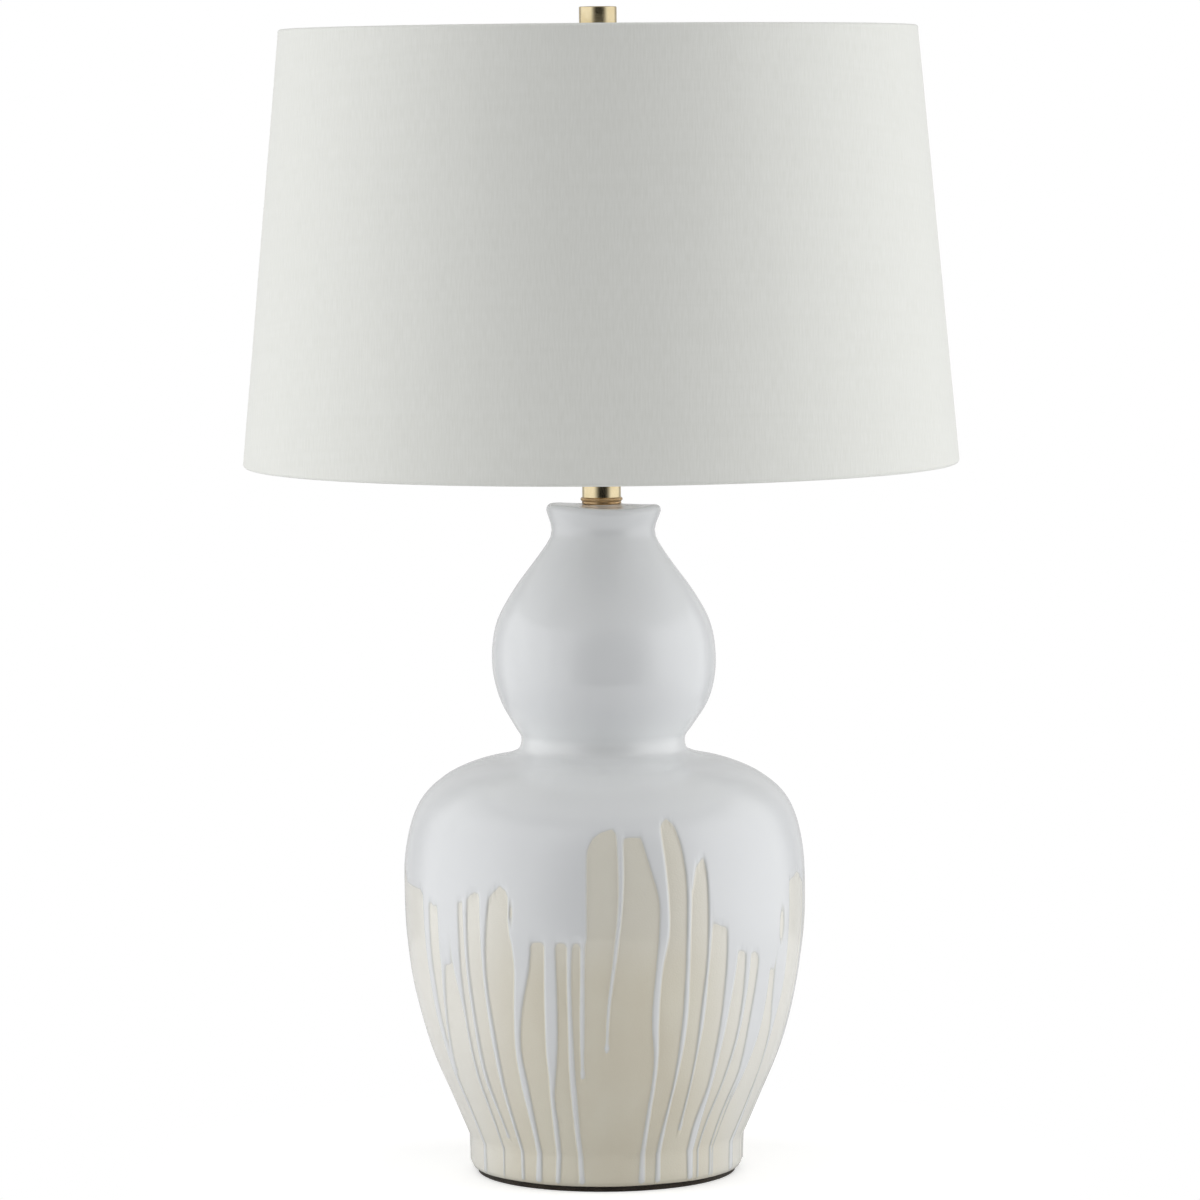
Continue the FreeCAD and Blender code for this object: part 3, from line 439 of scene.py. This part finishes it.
def body_rings():
    """Rings over the outside from the foot to the lip, and how deep in the glaze each point is."""
    radius, height = gourd_outline()
    run = np.concatenate([[0], np.cumsum(np.hypot(np.diff(radius), np.diff(height)))])
    total = run[-1]
    drip_top = run[np.argmax(height > DRIP_TOP)]
    shoulder_top, waist_top = np.interp((SHOULDER_TOP, WAIST_TOP), height, run)
    lip = total - LIP_RUN
    stops = [np.linspace(0, drip_top, DRIP_RINGS)]
    for low, high, count in (
        (drip_top, shoulder_top, SHOULDER_RINGS),
        (shoulder_top, waist_top, WAIST_RINGS),
        (waist_top, lip, UPPER_RINGS),
        (lip, total, LIP_RINGS),
    ):
        stops.append(np.linspace(low, high, count)[1:])
    front = np.arange(-FINE_SPAN, FINE_SPAN, 2 * FINE_SPAN / FRONT_COLUMNS)
    rest = FINE_SPAN + np.arange(BACK_COLUMNS) * (360 - 2 * FINE_SPAN) / BACK_COLUMNS
    fine = np.radians(np.concatenate([front, rest]))
    coarse = fine[::3]
    rings, depths = [], []
    phases = np.random.default_rng(5).uniform(0, 2 * math.pi, 6)
    for along in np.concatenate(stops):
        angles = coarse if along > drip_top else fine
        r = float(smooth(along, run, radius))
        z = float(smooth(along, run, height))
        ahead = min(along + 0.0005, total)
        behind = max(along - 0.0005, 0)
        rise = np.array([
            float(smooth(ahead, run, radius) - smooth(behind, run, radius)),
            float(smooth(ahead, run, height) - smooth(behind, run, height)),
        ])
        out_r, out_z = rise[1] / np.hypot(*rise), -rise[0] / np.hypot(*rise)
        degrees = (np.degrees(angles) + 180) % 360 - 180
        if z > ALL_GLAZED:
            depth = np.full(len(angles), DIPPED)
        else:
            depth = glaze_depth_at(degrees, np.full(len(angles), z * 1000), np.full(len(angles), r))
        cover = np.clip(depth / (GLAZE_RIM * 1000), 0, 1)
        thinned = 1 - float(np.interp(z, *zip(*RUN_OFF)))
        thick = GLAZE_DEPTH * thinned * np.sqrt(1 - (1 - cover) ** 2) - CLAY_DEPTH
        ripple = sum(
            RIPPLE * np.sin(angles * turns + z * rate + phase)
            for turns, rate, phase in zip((2, 3, 5, 7, 11, 4), (30, 55, -40, 80, -95, 140), phases)
        )
        lift = thick + ripple
        nearness = np.clip((z - LIP_FOOT) / LIP_RISE, 0, 1) ** 1.5
        ring = around(angles, r + out_r * lift, z + out_z * lift + nearness * lip_wave(angles))
        rings.append(ring + (off_true(z), 0, 0))
        depths.append(depth)
    return rings, depths, radius, height, run, fine


outer_rings, outer_depths, gourd_radius, gourd_height, gourd_run, fine_angles = body_rings()
body_low, body_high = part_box("ceramic_body")
pipe_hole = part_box("lamp_pipe")[1].x + 0.0009
foot_bottom = body_low.z
recess_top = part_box("base_gasket")[1].z
flange_top = recess_top + 0.007
recess_radius = 0.079
opening_radius = 0.045
top_flat = body_high.z
flat_radius = 0.0148
cavity_top = top_flat - 0.008

# From the lip inwards to the pipe's hole, down the hollow to the ledge, and out under the foot
inner_angles = fine_angles[::6]
rim_angles = fine_angles[::3]
inner_rings = []
for inset, share in ((0.0012, 0.97), (0.0045, 0.9), (0.009, 0.72), (0.014, 0.45), (0.0195, 0.15)):
    level = gourd_height[-1] + (top_flat - gourd_height[-1]) * min(1, 0.35 + inset * 200)
    ring = around(rim_angles, gourd_radius[-1] - inset, level + share * lip_wave(rim_angles))
    inner_rings.append(ring + (off_true(level) * share, 0, 0))
inner_rings.append(around(inner_angles, flat_radius, top_flat))
inner_rings.append(around(inner_angles, pipe_hole, top_flat))
inner_rings.append(around(inner_angles, pipe_hole, cavity_top))
for along in np.linspace(gourd_run[-1] - 0.012, 0, 50):
    r = float(smooth(along, gourd_run, gourd_radius)) - WALL
    z = float(smooth(along, gourd_run, gourd_height))
    if flange_top + 0.002 < z < cavity_top - 0.001:
        inner_rings.append(around(inner_angles, r, z))
inner_rings.append(around(inner_angles, gourd_radius[0] - 2 * WALL, flange_top))
inner_rings.append(around(inner_angles, opening_radius, flange_top))
inner_rings.append(around(inner_angles, opening_radius, recess_top))
inner_rings.append(around(inner_angles, recess_radius, recess_top))
inner_rings.append(around(inner_angles, recess_radius, foot_bottom))
inner_rings.append(around(rim_angles, gourd_radius[0] - 0.0045, foot_bottom))

gourd = skin("glazed_gourd", outer_rings + inner_rings, closed=True, creases=50)
inner_depths = []
for ring in inner_rings:
    inner_depths.append(np.full(len(ring), DIPPED if ring[0][2] > cavity_top + 0.001 else BARE))
depth_values = np.concatenate(outer_depths + inner_depths)
depth_layer = gourd.data.attributes.new("glaze_depth", "FLOAT", "POINT")
depth_layer.data.foreach_set("value", depth_values.astype(np.float32))


def drill(piece, start, end, radius):
    """Cuts a round hole through a piece, along Y."""
    turn = even_angles(48)
    circle = np.stack([radius * np.cos(turn), turn * 0, inlet_level + radius * np.sin(turn)], axis=-1)
    rings = [circle + (0, start, 0), circle + (0, end, 0)]
    bit = skin("bit", [rings[0].mean(axis=0)[None, :], *rings, rings[1].mean(axis=0)[None, :]])
    cut = piece.modifiers.new("cord_hole", "BOOLEAN")
    cut.operation = "DIFFERENCE"
    cut.object = bit
    graph = bpy.context.evaluated_depsgraph_get()
    piece.data = bpy.data.meshes.new_from_object(piece.evaluated_get(graph))
    piece.modifiers.clear()
    bpy.data.objects.remove(bit)


BUSHING_HOLE = 0.0047
bushing_low, bushing_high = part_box("cord_bushing")
inlet_level = (bushing_low.z + bushing_high.z) / 2
drill(gourd, recess_radius - 0.004, bushing_high.y + 0.002, BUSHING_HOLE)


@finish
def glazed_stoneware(place):
    depth = place.node("Attribute", {"attribute_name": "glaze_depth"}, {}, output="Fac")
    ragged = depth + (spots(place, 0.0035, 3) - 0.5) * 0.5
    glazed = step(ragged, -0.05, 0.2)
    milk = step(ragged, 0.1, 1.6)
    grain = spots(place, 0.0011, 3)
    clouds = spots(scaled(place, 1, 1, 0.5), 0.05, 4)
    clay = mix(step(clouds, 0.3, 0.7), paint(219, 214, 197), paint(213, 206, 187))
    clay = mix(step(grain, 0.62, 0.78) * 0.2, clay, paint(200, 191, 168))
    side = place.node("SeparateXYZ", {}, {0: place}, output="X")
    level = place.node("SeparateXYZ", {}, {0: place}, output="Z")
    # The clay is painted paler round its left and right sides, a painted sheen where the side lights
    # reflect. It is also a little paler from about 0.14 m up in front and behind, a thin wash of glaze
    # below the curtain.
    painted_side_sheen = step(side * side, 0.001, 0.009)
    wash_and_side_sheen = painted_side_sheen * 0.8 + (1 - painted_side_sheen) * step(level, 0.14, 0.19) * 0.4
    clay = mix(wash_and_side_sheen, clay, paint(229, 228, 222))
    # The glaze is painted whiter on the shoulder and in the waist. This is partly thicker glaze that
    # gathered there, and partly painted light that lifts the shade in the waist's crease.
    glaze = mix(milk, paint(211, 211, 207), paint(221, 223, 225))
    pooled_and_painted_light = step(level, 0.235, 0.285) * (1 - step(level, 0.295, 0.325))
    glaze = mix(pooled_and_painted_light, glaze, paint(231, 233, 234))
    surface = grain * (1 - glazed)
    return {
        "Base Color": mix(glazed, clay, glaze),
        "Roughness": 0.42 - glazed * 0.3 + (clouds - 0.5) * 0.06,
        "Specular IOR Level": 0.5,
        "Coat Weight": 0.9 - glazed * 0.5,
        "Coat Roughness": 0.08,
        "Normal": bump(surface + spots(place, 0.02, 2) * 0.6, 0.00018, 0.6),
    }


fit(gourd, glazed_stoneware, "base", "glazed_ceramic", "ceramic_body")

# Clamp under the foot: a zinc-plated plate and a rubber ring under the ledge, drawn up by a lock
# washer and a nut on the threaded pipe that runs up through the whole body.

EDGE = 0.00018


def dress(material, *names):
    """Gives CAD nodes their finish, and breaks their sharp edges a little."""
    for name in names:
        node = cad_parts[name]
        for holder in node.material_slots:
            holder.material = material
        weld = node.modifiers.new("weld", "WELD")
        weld.merge_threshold = 0.000002
        bevel = node.modifiers.new("worn_edges", "BEVEL")
        bevel.width = EDGE
        bevel.segments = 2
        bevel.limit_method = "ANGLE"
        bevel.angle_limit = math.radians(42)
        flats = node.modifiers.new("flat_faces", "WEIGHTED_NORMAL")
        flats.keep_sharp = True


@finish
def zinc_plate(place):
    blotches = spots(place, 0.006, 4)
    scratches = spots(scaled(place, 1, 6, 1), 0.0008, 3)
    return {
        "Base Color": mix(step(blotches, 0.35, 0.65), paint(196, 197, 196), paint(172, 174, 176)),
        "Metallic": 1.0,
        "Roughness": 0.28 + blotches * 0.16,
        "Normal": bump(scratches, 0.00004, 0.5),
    }


@finish
def black_rubber(place):
    dust = spots(place, 0.004, 4)
    return {
        "Base Color": mix(step(dust, 0.5, 0.8), paint(30, 30, 31), paint(62, 60, 58)),
        "Roughness": 0.72 + dust * 0.15,
        "Normal": bump(spots(place, 0.0006, 2), 0.0001, 0.4),
    }


dress(zinc_plate, "base_plate", "lock_washer", "pipe_nut", "lamp_pipe")
dress(black_rubber, "base_gasket")

# Cord inlet: a flanged bushing of black nylon, pressed from outside into a hole in the back of
# the foot.


@finish
def black_nylon(place):
    sheen = spots(place, 0.003, 3)
    return {
        "Base Color": mix(sheen, paint(24, 24, 26), paint(36, 36, 38)),
        "Roughness": 0.38 + sheen * 0.14,
        "Normal": bump(spots(place, 0.0008, 2), 0.00005, 0.4),
    }


dress(black_nylon, "cord_bushing")

# Neck: a ring with a turned bead on the lip, a tube and its lid, held down by the pipe. All are
# brass with fine turning marks under a thin lacquer, the tube a satin champagne. The ring is a darker
# copy of the same brass, painted shade where it sits low on the lip under the lampshade.


@finish
def satin_brass(place):
    turning = spots(scaled(place, 0.02, 0.02, 1), 0.00022, 3)
    clouds = spots(place, 0.009, 4)
    return {
        "Base Color": mix(step(clouds, 0.25, 0.75), paint(240, 224, 186), paint(230, 211, 168)),
        "Metallic": 1.0,
        "Roughness": 0.13 + turning * 0.08 + (clouds - 0.5) * 0.05,
        "Anisotropic": 0.4,
        "Normal": bump(turning, 0.00003, 0.5),
    }


# Painted shade: the neck ring's brass is a darker, deeper copy of the tube's, for the shade it sits in.
@finish
def painted_shade_brass(place):
    turning = spots(scaled(place, 0.02, 0.02, 1), 0.0003, 3)
    tarnish = spots(place, 0.005, 4)
    return {
        "Base Color": mix(step(tarnish, 0.3, 0.7), paint(226, 193, 148), paint(196, 160, 114)),
        "Metallic": 1.0,
        "Roughness": 0.14 + turning * 0.08 + tarnish * 0.08,
        "Anisotropic": 0.4,
        "Normal": bump(turning, 0.00004, 0.5),
    }


dress(satin_brass, "neck_tube", "neck_cap")

# The ring's section, as steps out from the solid's radius and down from its top
BEAD = [
    (-0.0085, 0.0002), (-0.0014, 0.0), (-0.0008, 0.0), (-0.0003, 0.0003), (0.0001, 0.0008),
    (0.0002, 0.0013), (0.0001, 0.0018), (-0.0003, 0.0023), (-0.0007, 0.0026), (-0.0009, 0.0029),
    (-0.0008, 0.0033), (-0.0008, 0.0041), (-0.0011, 0.0046), (-0.0085, 0.0046),
]
ring_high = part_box("neck_ring")[1]
bead_rings = [around(even_angles(144), ring_high.x + out, ring_high.z - down) for out, down in BEAD]
beaded_ring = skin("beaded_ring", bead_rings, closed=True, creases=50)
fit(beaded_ring, painted_shade_brass, "base", "satin_brass", "neck_ring")

# Harp: a bright steel wire bow with a flattened eye. Its ends stand on a strip under the lamp
# holder, locked by two sleeves, and a swivel in the eye carries the shade.


@finish
def bright_nickel(place):
    haze = spots(place, 0.007, 4)
    lines = spots(scaled(place, 1, 1, 0.05), 0.0004, 2)
    return {
        "Base Color": mix(haze, paint(205, 203, 198), paint(188, 186, 182)),
        "Metallic": 1.0,
        "Roughness": 0.16 + haze * 0.14,
        "Normal": bump(lines, 0.00002, 0.5),
    }


dress(bright_nickel, "harp_saddle", "harp_bow", "harp_sleeve_left", "harp_sleeve_right", "harp_swivel")

# Lamp holder: a brass cap screwed on the pipe and a brass barrel that snaps over it. Inside are a
# card sleeve, a moulded black body with two terminal screws, the threaded aluminium cup and the
# centre contact. A rotary switch in the body has its knob at the front.


@finish
def bright_brass(place):
    tarnish = spots(place, 0.006, 4)
    return {
        "Base Color": mix(step(tarnish, 0.3, 0.75), paint(222, 190, 128), paint(196, 160, 100)),
        "Metallic": 1.0,
        "Roughness": 0.17 + tarnish * 0.15,
        "Normal": bump(spots(scaled(place, 0.05, 0.05, 1), 0.0003, 2), 0.00002, 0.5),
    }


@finish
def fish_card(place):
    fibres = spots(scaled(place, 1, 1, 0.2), 0.0009, 4)
    return {
        "Base Color": mix(fibres, paint(170, 152, 122), paint(196, 180, 150)),
        "Roughness": 0.9,
        "Normal": bump(fibres, 0.0002, 0.5),
    }


@finish
def moulded_black(place):
    flow = spots(scaled(place, 1, 1, 3), 0.004, 4)
    return {
        "Base Color": mix(flow, paint(22, 21, 20), paint(40, 37, 34)),
        "Roughness": 0.22 + flow * 0.16,
        "Normal": bump(spots(place, 0.0012, 2), 0.00004, 0.4),
    }


@finish
def thin_aluminium(place):
    drawn = spots(scaled(place, 0.05, 0.05, 1), 0.0004, 3)
    return {
        "Base Color": mix(drawn, paint(214, 215, 217), paint(196, 197, 200)),
        "Metallic": 1.0,
        "Roughness": 0.24 + drawn * 0.14,
        "Normal": bump(drawn, 0.00003, 0.5),
    }


dress(bright_brass, "socket_cap", "socket_shell", "terminal_screws", "centre_contact")
dress(fish_card, "insulating_sleeve")

THREAD_PITCH = 0.0036286
THREAD_DEPTH = 0.0007
THREAD_SHEET = 0.0003


def threaded(name, body, node):
    """A thin aluminium tube rolled into a right-hand thread, in place of a plain one."""
    low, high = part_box(node)
    angles = even_angles(96)
    levels = np.linspace(low.z, high.z, 1 + 12 * round((high.z - low.z) / THREAD_PITCH))
    ends = np.clip(np.minimum(levels - low.z, high.z - levels) / (0.3 * THREAD_PITCH), 0, 1)
    rings = []
    for side, order in ((high.x, 1), (high.x - THREAD_SHEET, -1)):
        for level, share in list(zip(levels, ends))[::order]:
            wave = np.cos(2 * math.pi * level / THREAD_PITCH - angles) * 0.5 + 0.5
            rings.append(around(angles, side - THREAD_DEPTH * (1 - wave * share), level))
    tube = skin(name, rings, closed=True, creases=60)
    fit(tube, thin_aluminium, body, "thin_aluminium", node)


threaded("threaded_cup", "base", "screw_shell")

spindle_low, spindle_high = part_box("switch_spindle")
knob_low, knob_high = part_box("switch_knob")
knob_axis = (knob_low.z + knob_high.z) / 2
knob_turn = even_angles(144)
flute = 1 - np.abs(np.cos(6 * knob_turn)) ** 0.6
bore = spindle_high.x * 1.02
# The knob's section: radius, place along Y, and how deep the flutes are cut there
knob_rings = []
for radius, depth, fluted in (
    (bore, spindle_low.y - 0.0002, 0), (bore, knob_high.y, 0), (0.0060, knob_high.y, 0),
    (0.0065, knob_high.y - 0.0004, 0), (0.0065, knob_high.y - 0.0014, 0),
    (0.0062, knob_high.y - 0.0018, 0.3), (0.0061, knob_high.y - 0.0026, 1),
    (0.0059, knob_low.y + 0.0070, 1), (0.0056, knob_low.y + 0.0014, 1),
    (0.0053, knob_low.y + 0.0006, 0.6), (0.0047, knob_low.y + 0.0001, 0.2),
    (0.0036, knob_low.y, 0), (0.0018, knob_low.y + 0.0003, 0), (0.0001, knob_low.y + 0.0004, 0),
):
    reach = radius * (1 - 0.08 * fluted * flute)
    knob_rings.append(np.stack([
        reach * np.sin(knob_turn), knob_turn * 0 + depth, knob_axis + reach * np.cos(knob_turn)
    ], axis=-1))
knob_tip = knob_rings[-1].mean(axis=0)[None, :]
knob_root = knob_rings[0].mean(axis=0)[None, :]
knob = skin("fluted_knob", [knob_root, *knob_rings, knob_tip], creases=35)
fit(knob, moulded_black, "knob", "moulded_black", "switch_knob")
dress(moulded_black, "socket_body")
dress(zinc_plate, "socket_set_screw", "switch_spindle")

# Bulb: a blown glass bulb, frosted inside, on a threaded aluminium cap with a black glass end
# and a solder tip. A clear glass stem holds the wire filament.


@finish
def frosted_glass(place):
    frost = spots(place, 0.0012, 3)
    return {
        "Base Color": mix(frost, paint(240, 240, 237), paint(248, 248, 246)),
        "Roughness": 0.25 + frost * 0.1,
        "Coat Weight": 0.5,
        "Coat Roughness": 0.08,
        "Transmission Weight": 0.25,
        "Normal": bump(frost, 0.00004, 0.3),
    }


@finish
def black_glass(place):
    swirl = spots(place, 0.002, 3)
    return {
        "Base Color": mix(swirl, paint(20, 18, 26), paint(38, 34, 46)),
        "Roughness": 0.08 + swirl * 0.08,
    }


@finish
def soft_solder(place):
    drops = spots(place, 0.0015, 4)
    return {
        "Base Color": mix(drops, paint(176, 178, 180), paint(146, 149, 153)),
        "Metallic": 1.0,
        "Roughness": 0.32 + drops * 0.2,
        "Normal": bump(drops, 0.0002, 0.6),
    }


@finish
def clear_glass(place):
    streaks = spots(scaled(place, 1, 1, 0.2), 0.002, 2)
    return {
        "Base Color": paint(246, 250, 248),
        "Roughness": 0.02 + streaks * 0.04,
        "Transmission Weight": 1.0,
        "IOR": 1.5,
    }


@finish
def drawn_tungsten(place):
    grain = spots(place, 0.0006, 2)
    return {
        "Base Color": mix(grain, paint(120, 118, 116), paint(90, 88, 88)),
        "Metallic": 1.0,
        "Roughness": 0.35 + grain * 0.2,
    }


dress(frosted_glass, "bulb_glass")
dress(black_glass, "bulb_insulator")
dress(soft_solder, "bulb_tip")
threaded("threaded_cap", "bulb", "bulb_cap")
dress(clear_glass, "bulb_stem")
dress(drawn_tungsten, "bulb_filament")

# Shade: off-white linen glued on a stiff white lining, cut as a sector of a ring and joined in a
# lapped seam at the back. Its edges are wrapped over two ring wires in strips of the same linen.

cover_low, cover_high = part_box("shade_cover")
top_trim_low, top_trim_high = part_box("shade_top_trim")
hem_radius = (top_trim_high.z - top_trim_low.z) / 2
shade_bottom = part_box("shade_bottom_trim")[1].x
shade_top = top_trim_high.x
shade_rise = cover_high.z - cover_low.z
cone_lean = math.atan2(shade_bottom - shade_top, shade_rise)
apex_height = cover_low.z + shade_bottom / math.tan(cone_lean)
YARN = 0.0008


@finish
def shade_linen(place):
    """Slubby plain weave whose threads run straight in the flat cloth, before it was rolled."""
    x = place.node("SeparateXYZ", {}, {0: place}, output="X")
    y = place.node("SeparateXYZ", {}, {0: place}, output="Y")
    z = place.node("SeparateXYZ", {}, {0: place}, output="Z")
    turn = x.math("ARCTAN2", x, 0.0 - y) * math.sin(cone_lean)
    reach = (apex_height - z) * (1 / math.cos(cone_lean))
    across = reach * turn.math("SINE", turn)
    along = reach * turn.math("COSINE", turn)
    warp_place = place.node("CombineXYZ", {}, {0: across, 1: along * 0.1, 2: 0.0})
    weft_place = place.node("CombineXYZ", {}, {0: across * 0.04, 1: along, 2: 3.0})
    warp = spots(warp_place, 0.0011, 1)
    weft = spots(weft_place, 0.0028, 0)
    fine_warp = across.math("SINE", across * (2 * math.pi / YARN)) * 0.5 + 0.5
    fine_weft = along.math("SINE", along * (2 * math.pi / YARN)) * 0.5 + 0.5
    threads = warp * 0.6 + weft * 0.1 + (fine_warp * 0.7 + fine_weft * 0.3) * 0.3
    return {
        "Base Color": mix(step(threads, 0.25, 0.75), paint(222, 223, 218), paint(229, 230, 226)),
        "Roughness": 0.92,
        "Specular IOR Level": 0.25,
        "Sheen Weight": 0.2,
        "Sheen Roughness": 0.4,
        "Normal": bump(threads, 0.0004, 0.25),
    }


@finish
def lining_sheet(place):
    mottle = spots(place, 0.03, 3)
    return {
        "Base Color": mix(mottle, paint(240, 240, 238), paint(246, 246, 244)),
        "Roughness": 0.5 + mottle * 0.1,
        "Normal": bump(spots(place, 0.002, 2), 0.00008, 0.3),
    }


def cone_radius(height):
    """The radius of the cloth's outside at a height."""
    share = (height - cover_low.z) / shade_rise
    return shade_bottom + (shade_top - shade_bottom) * share


COVER = 0.0005
LAP = 0.0007
LAP_HALF = 2.4
SLACK = 0.00006
cover_angles = even_angles(480)
cover_levels = np.linspace(cover_low.z - hem_radius - 0.0002, cover_high.z + hem_radius + 0.0002, 41)
from_seam = np.degrees(np.abs(cover_angles - math.pi))
seam_lift = LAP * (1 - np.clip((from_seam - LAP_HALF) / 0.4, 0, 1))
slack_phase = np.random.default_rng(9).uniform(0, 2 * math.pi, 8)
outside = []
inside = []
for level in cover_levels:
    share = (level - cover_low.z) / shade_rise
    bow = sum(
        SLACK * np.sin(cover_angles * turns + share * bend + phase)
        for turns, bend, phase in zip((3, 5, 8, 13, 21, 34), (2, -3, 5, 4, -6, 7), slack_phase)
    )
    outside.append(around(cover_angles, cone_radius(level) + seam_lift + np.abs(bow), level))
    inside.append(around(cover_angles, cone_radius(level) - COVER, level))
cover = skin("linen_cover", outside + inside[::-1], closed=True)
fit(cover, shade_linen, "shade", "shade_fabric", "shade_cover")


def band(path, thickness):
    """The closed section of a strip of that thickness along a path of radii and heights."""
    path = np.array(path)
    run = np.gradient(path, axis=0)
    sides = np.stack([run[:, 1], -run[:, 0]], axis=1) / np.hypot(run[:, 0], run[:, 1])[:, None]
    return np.concatenate([path + sides * thickness / 2, (path - sides * thickness / 2)[::-1]])


HEM_STRIP = 0.0003
HEM_OUTSIDE = 0.00025
HEM_INSIDE = 0.0017
PUCKER = 0.00007


def hem(name, node, way):
    """The edge of the cloth, rolled over the ring wire and turned inside."""
    low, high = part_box(node)
    level = (low.z + high.z) / 2
    wire = high.x - hem_radius
    path = []
    for up in (0.004, 0.0028, 0.0018):
        height = level - way * up
        path.append((cone_radius(height) - HEM_OUTSIDE, height))
    for turn in np.radians(np.arange(0, 196, 15)):
        path.append((wire + math.cos(turn) * hem_radius, level + way * math.sin(turn) * hem_radius))
    for up in (0.004, 0.007, 0.011):
        height = level - way * up
        path.append((cone_radius(height) - HEM_INSIDE, height))
    angles = even_angles(480)
    pucker = np.random.default_rng(len(name)).normal(0, 1, len(angles))
    pucker = np.convolve(np.pad(pucker, 3, mode="wrap"), np.ones(7) / 7, mode="valid") * PUCKER
    rings = [around(angles, radius + pucker, height) for radius, height in band(path, HEM_STRIP)]
    made = skin(name, rings if way < 0 else rings[::-1], closed=True)
    return fit(made, shade_linen, "shade", "shade_fabric", node)


top_hem = hem("top_hem", "shade_top_trim", 1)
bottom_hem = hem("bottom_hem", "shade_bottom_trim", -1)
dress(lining_sheet, "shade_liner")
dress(bright_nickel, "spider_hub", "spider_arm_1", "spider_arm_2", "spider_arm_3")
dress(bright_nickel, "shade_top_wire", "shade_bottom_wire")

# Finial: a plain drum turned from brass bar, satin like the neck, on a threaded collar. It screws
# down on the swivel's stud and holds the shade.

dress(satin_brass, "finial_collar", "finial_knob")

# Table and light: a pale table top that keeps the lamp's shadow and is white beyond it, two large
# soft lights at the sides, and a white room, dim in front of the lamp and with a grey screen to
# either side behind it. The camera sees the room as plain white.

TABLE_RADIUS = 0.9
TABLE_LIFT = 0.42
SHADOW_NEAR, SHADOW_FAR = 0.13, 0.34
LIGHT_SIDE = 3.2
LIGHT_SIZE = 2.6
LIGHT_POWER = 80


def seen_straight(start):
    """1 for what the camera sees directly or through glass, 0 for light on its way to a surface."""
    from_camera = start.node("LightPath", {}, {}, output="Is Camera Ray")
    through_glass = start.node("LightPath", {}, {}, output="Is Transmission Ray")
    return start.math("MINIMUM", from_camera + through_glass, 1.0)


table_rings = [np.array([[0.0, 0.0, 0.0]])]
for radius in (0.15, 0.4, TABLE_RADIUS):
    table_rings.append(around(even_angles(96), radius, 0.0))
table = skin("table_top", table_rings)
table_paint = bpy.data.materials.new("table_paint")
table_paint.use_nodes = True
table_paint.node_tree.nodes.clear()
start = Signal(table_paint.node_tree)
seen = seen_straight(start)
place = start.node("TexCoord", {}, {}, output="Object")
reach = place.node("VectorMath", {"operation": "LENGTH"}, {0: place}, output="Value")
plain = start.node("BsdfDiffuse", {}, {"Color": paint(234, 234, 234)})
lift = start.node("Emission", {}, {"Color": paint(255, 255, 255), "Strength": seen * TABLE_LIFT})
white = start.node("Emission", {}, {"Color": paint(255, 255, 255)})
near = start.node("AddShader", {}, {0: plain, 1: lift})
far = step(reach, SHADOW_NEAR, SHADOW_FAR) * seen
blend = start.node("MixShader", {}, {0: far, 1: near, 2: white})
start.node("OutputMaterial", {}, {"Surface": blend})
table.data.materials.append(table_paint)

for name, way in (("light_left", -1), ("light_right", 1)):
    lamp = bpy.data.lights.new(name, "AREA")
    lamp.shape = "RECTANGLE"
    lamp.size = LIGHT_SIZE
    lamp.size_y = LIGHT_SIZE
    lamp.energy = LIGHT_POWER
    stand = bpy.data.objects.new(name, lamp)
    bpy.context.scene.collection.objects.link(stand)
    stand.visible_glossy = False
    stand.location = (way * LIGHT_SIDE, -0.6, 0.9)
    stand.rotation_euler = (Vector((0, 0, 0.4)) - stand.location).to_track_quat("-Z", "Y").to_euler()

world = bpy.data.worlds.new("white_room")
bpy.context.scene.world = world
world.use_nodes = True
world.node_tree.nodes.clear()
start = Signal(world.node_tree)
place = start.node("TexCoord", {}, {}, output="Generated")
across = place.node("SeparateXYZ", {}, {0: place}, output="X")
depth = place.node("SeparateXYZ", {}, {0: place}, output="Y")
height = place.node("SeparateXYZ", {}, {0: place}, output="Z")
mirrored = start.node("LightPath", {}, {}, output="Is Glossy Ray")
# Parts of the room by direction, then what a dull surface and what a glossy one gets from each
front = step(across * 0.14 - depth, 0.57, 0.985)
back = step(depth, 0.985, 0.997)
flags = step(depth, 0.47, 0.74) * (1 - back)
rim = step(depth, 0.78, 0.92)
side = 1 - front - back - flags
top = step(height, 0.55, 0.8) * side
low = step(0 - height, 0.04, 0.2)
soft = front * 0.3 + flags * 0.28 + back * 0.78 + top + low * 0.48
sharp = front * 0.01 + flags * (rim * 0.2 + 0.4) + back * 0.6 + side - top * 0.7
level = soft + (sharp - soft) * mirrored
level = level + seen_straight(start) * (1 - level)
shine = start.node("Background", {}, {"Color": paint(255, 255, 255), "Strength": level})
start.node("OutputWorld", {}, {"Surface": shine})

# Camera: level with the shade, a long lens from 3.9 m in front, pitched down a little and held
# almost straight, as the photograph was taken.

PITCH = 4.859
ROLL = 0.45
FOCAL_PIXELS = 5790.1
FRAME_PIXELS = 1200
camera = bpy.data.cameras.new("camera")
camera.sensor_width = 36.0
camera.lens = camera.sensor_width * FOCAL_PIXELS / FRAME_PIXELS
viewer = bpy.data.objects.new("camera", camera)
bpy.context.scene.collection.objects.link(viewer)
viewer.location = (-0.0016, -3.906, 0.7213)
turned = Matrix.Rotation(math.radians(90 - PITCH), 3, "X") @ Matrix.Rotation(math.radians(-ROLL), 3, "Z")
viewer.rotation_euler = turned.to_euler()
camera.clip_end = 100
bpy.context.scene.camera = viewer
bpy.context.scene.view_settings.view_transform = "Standard"
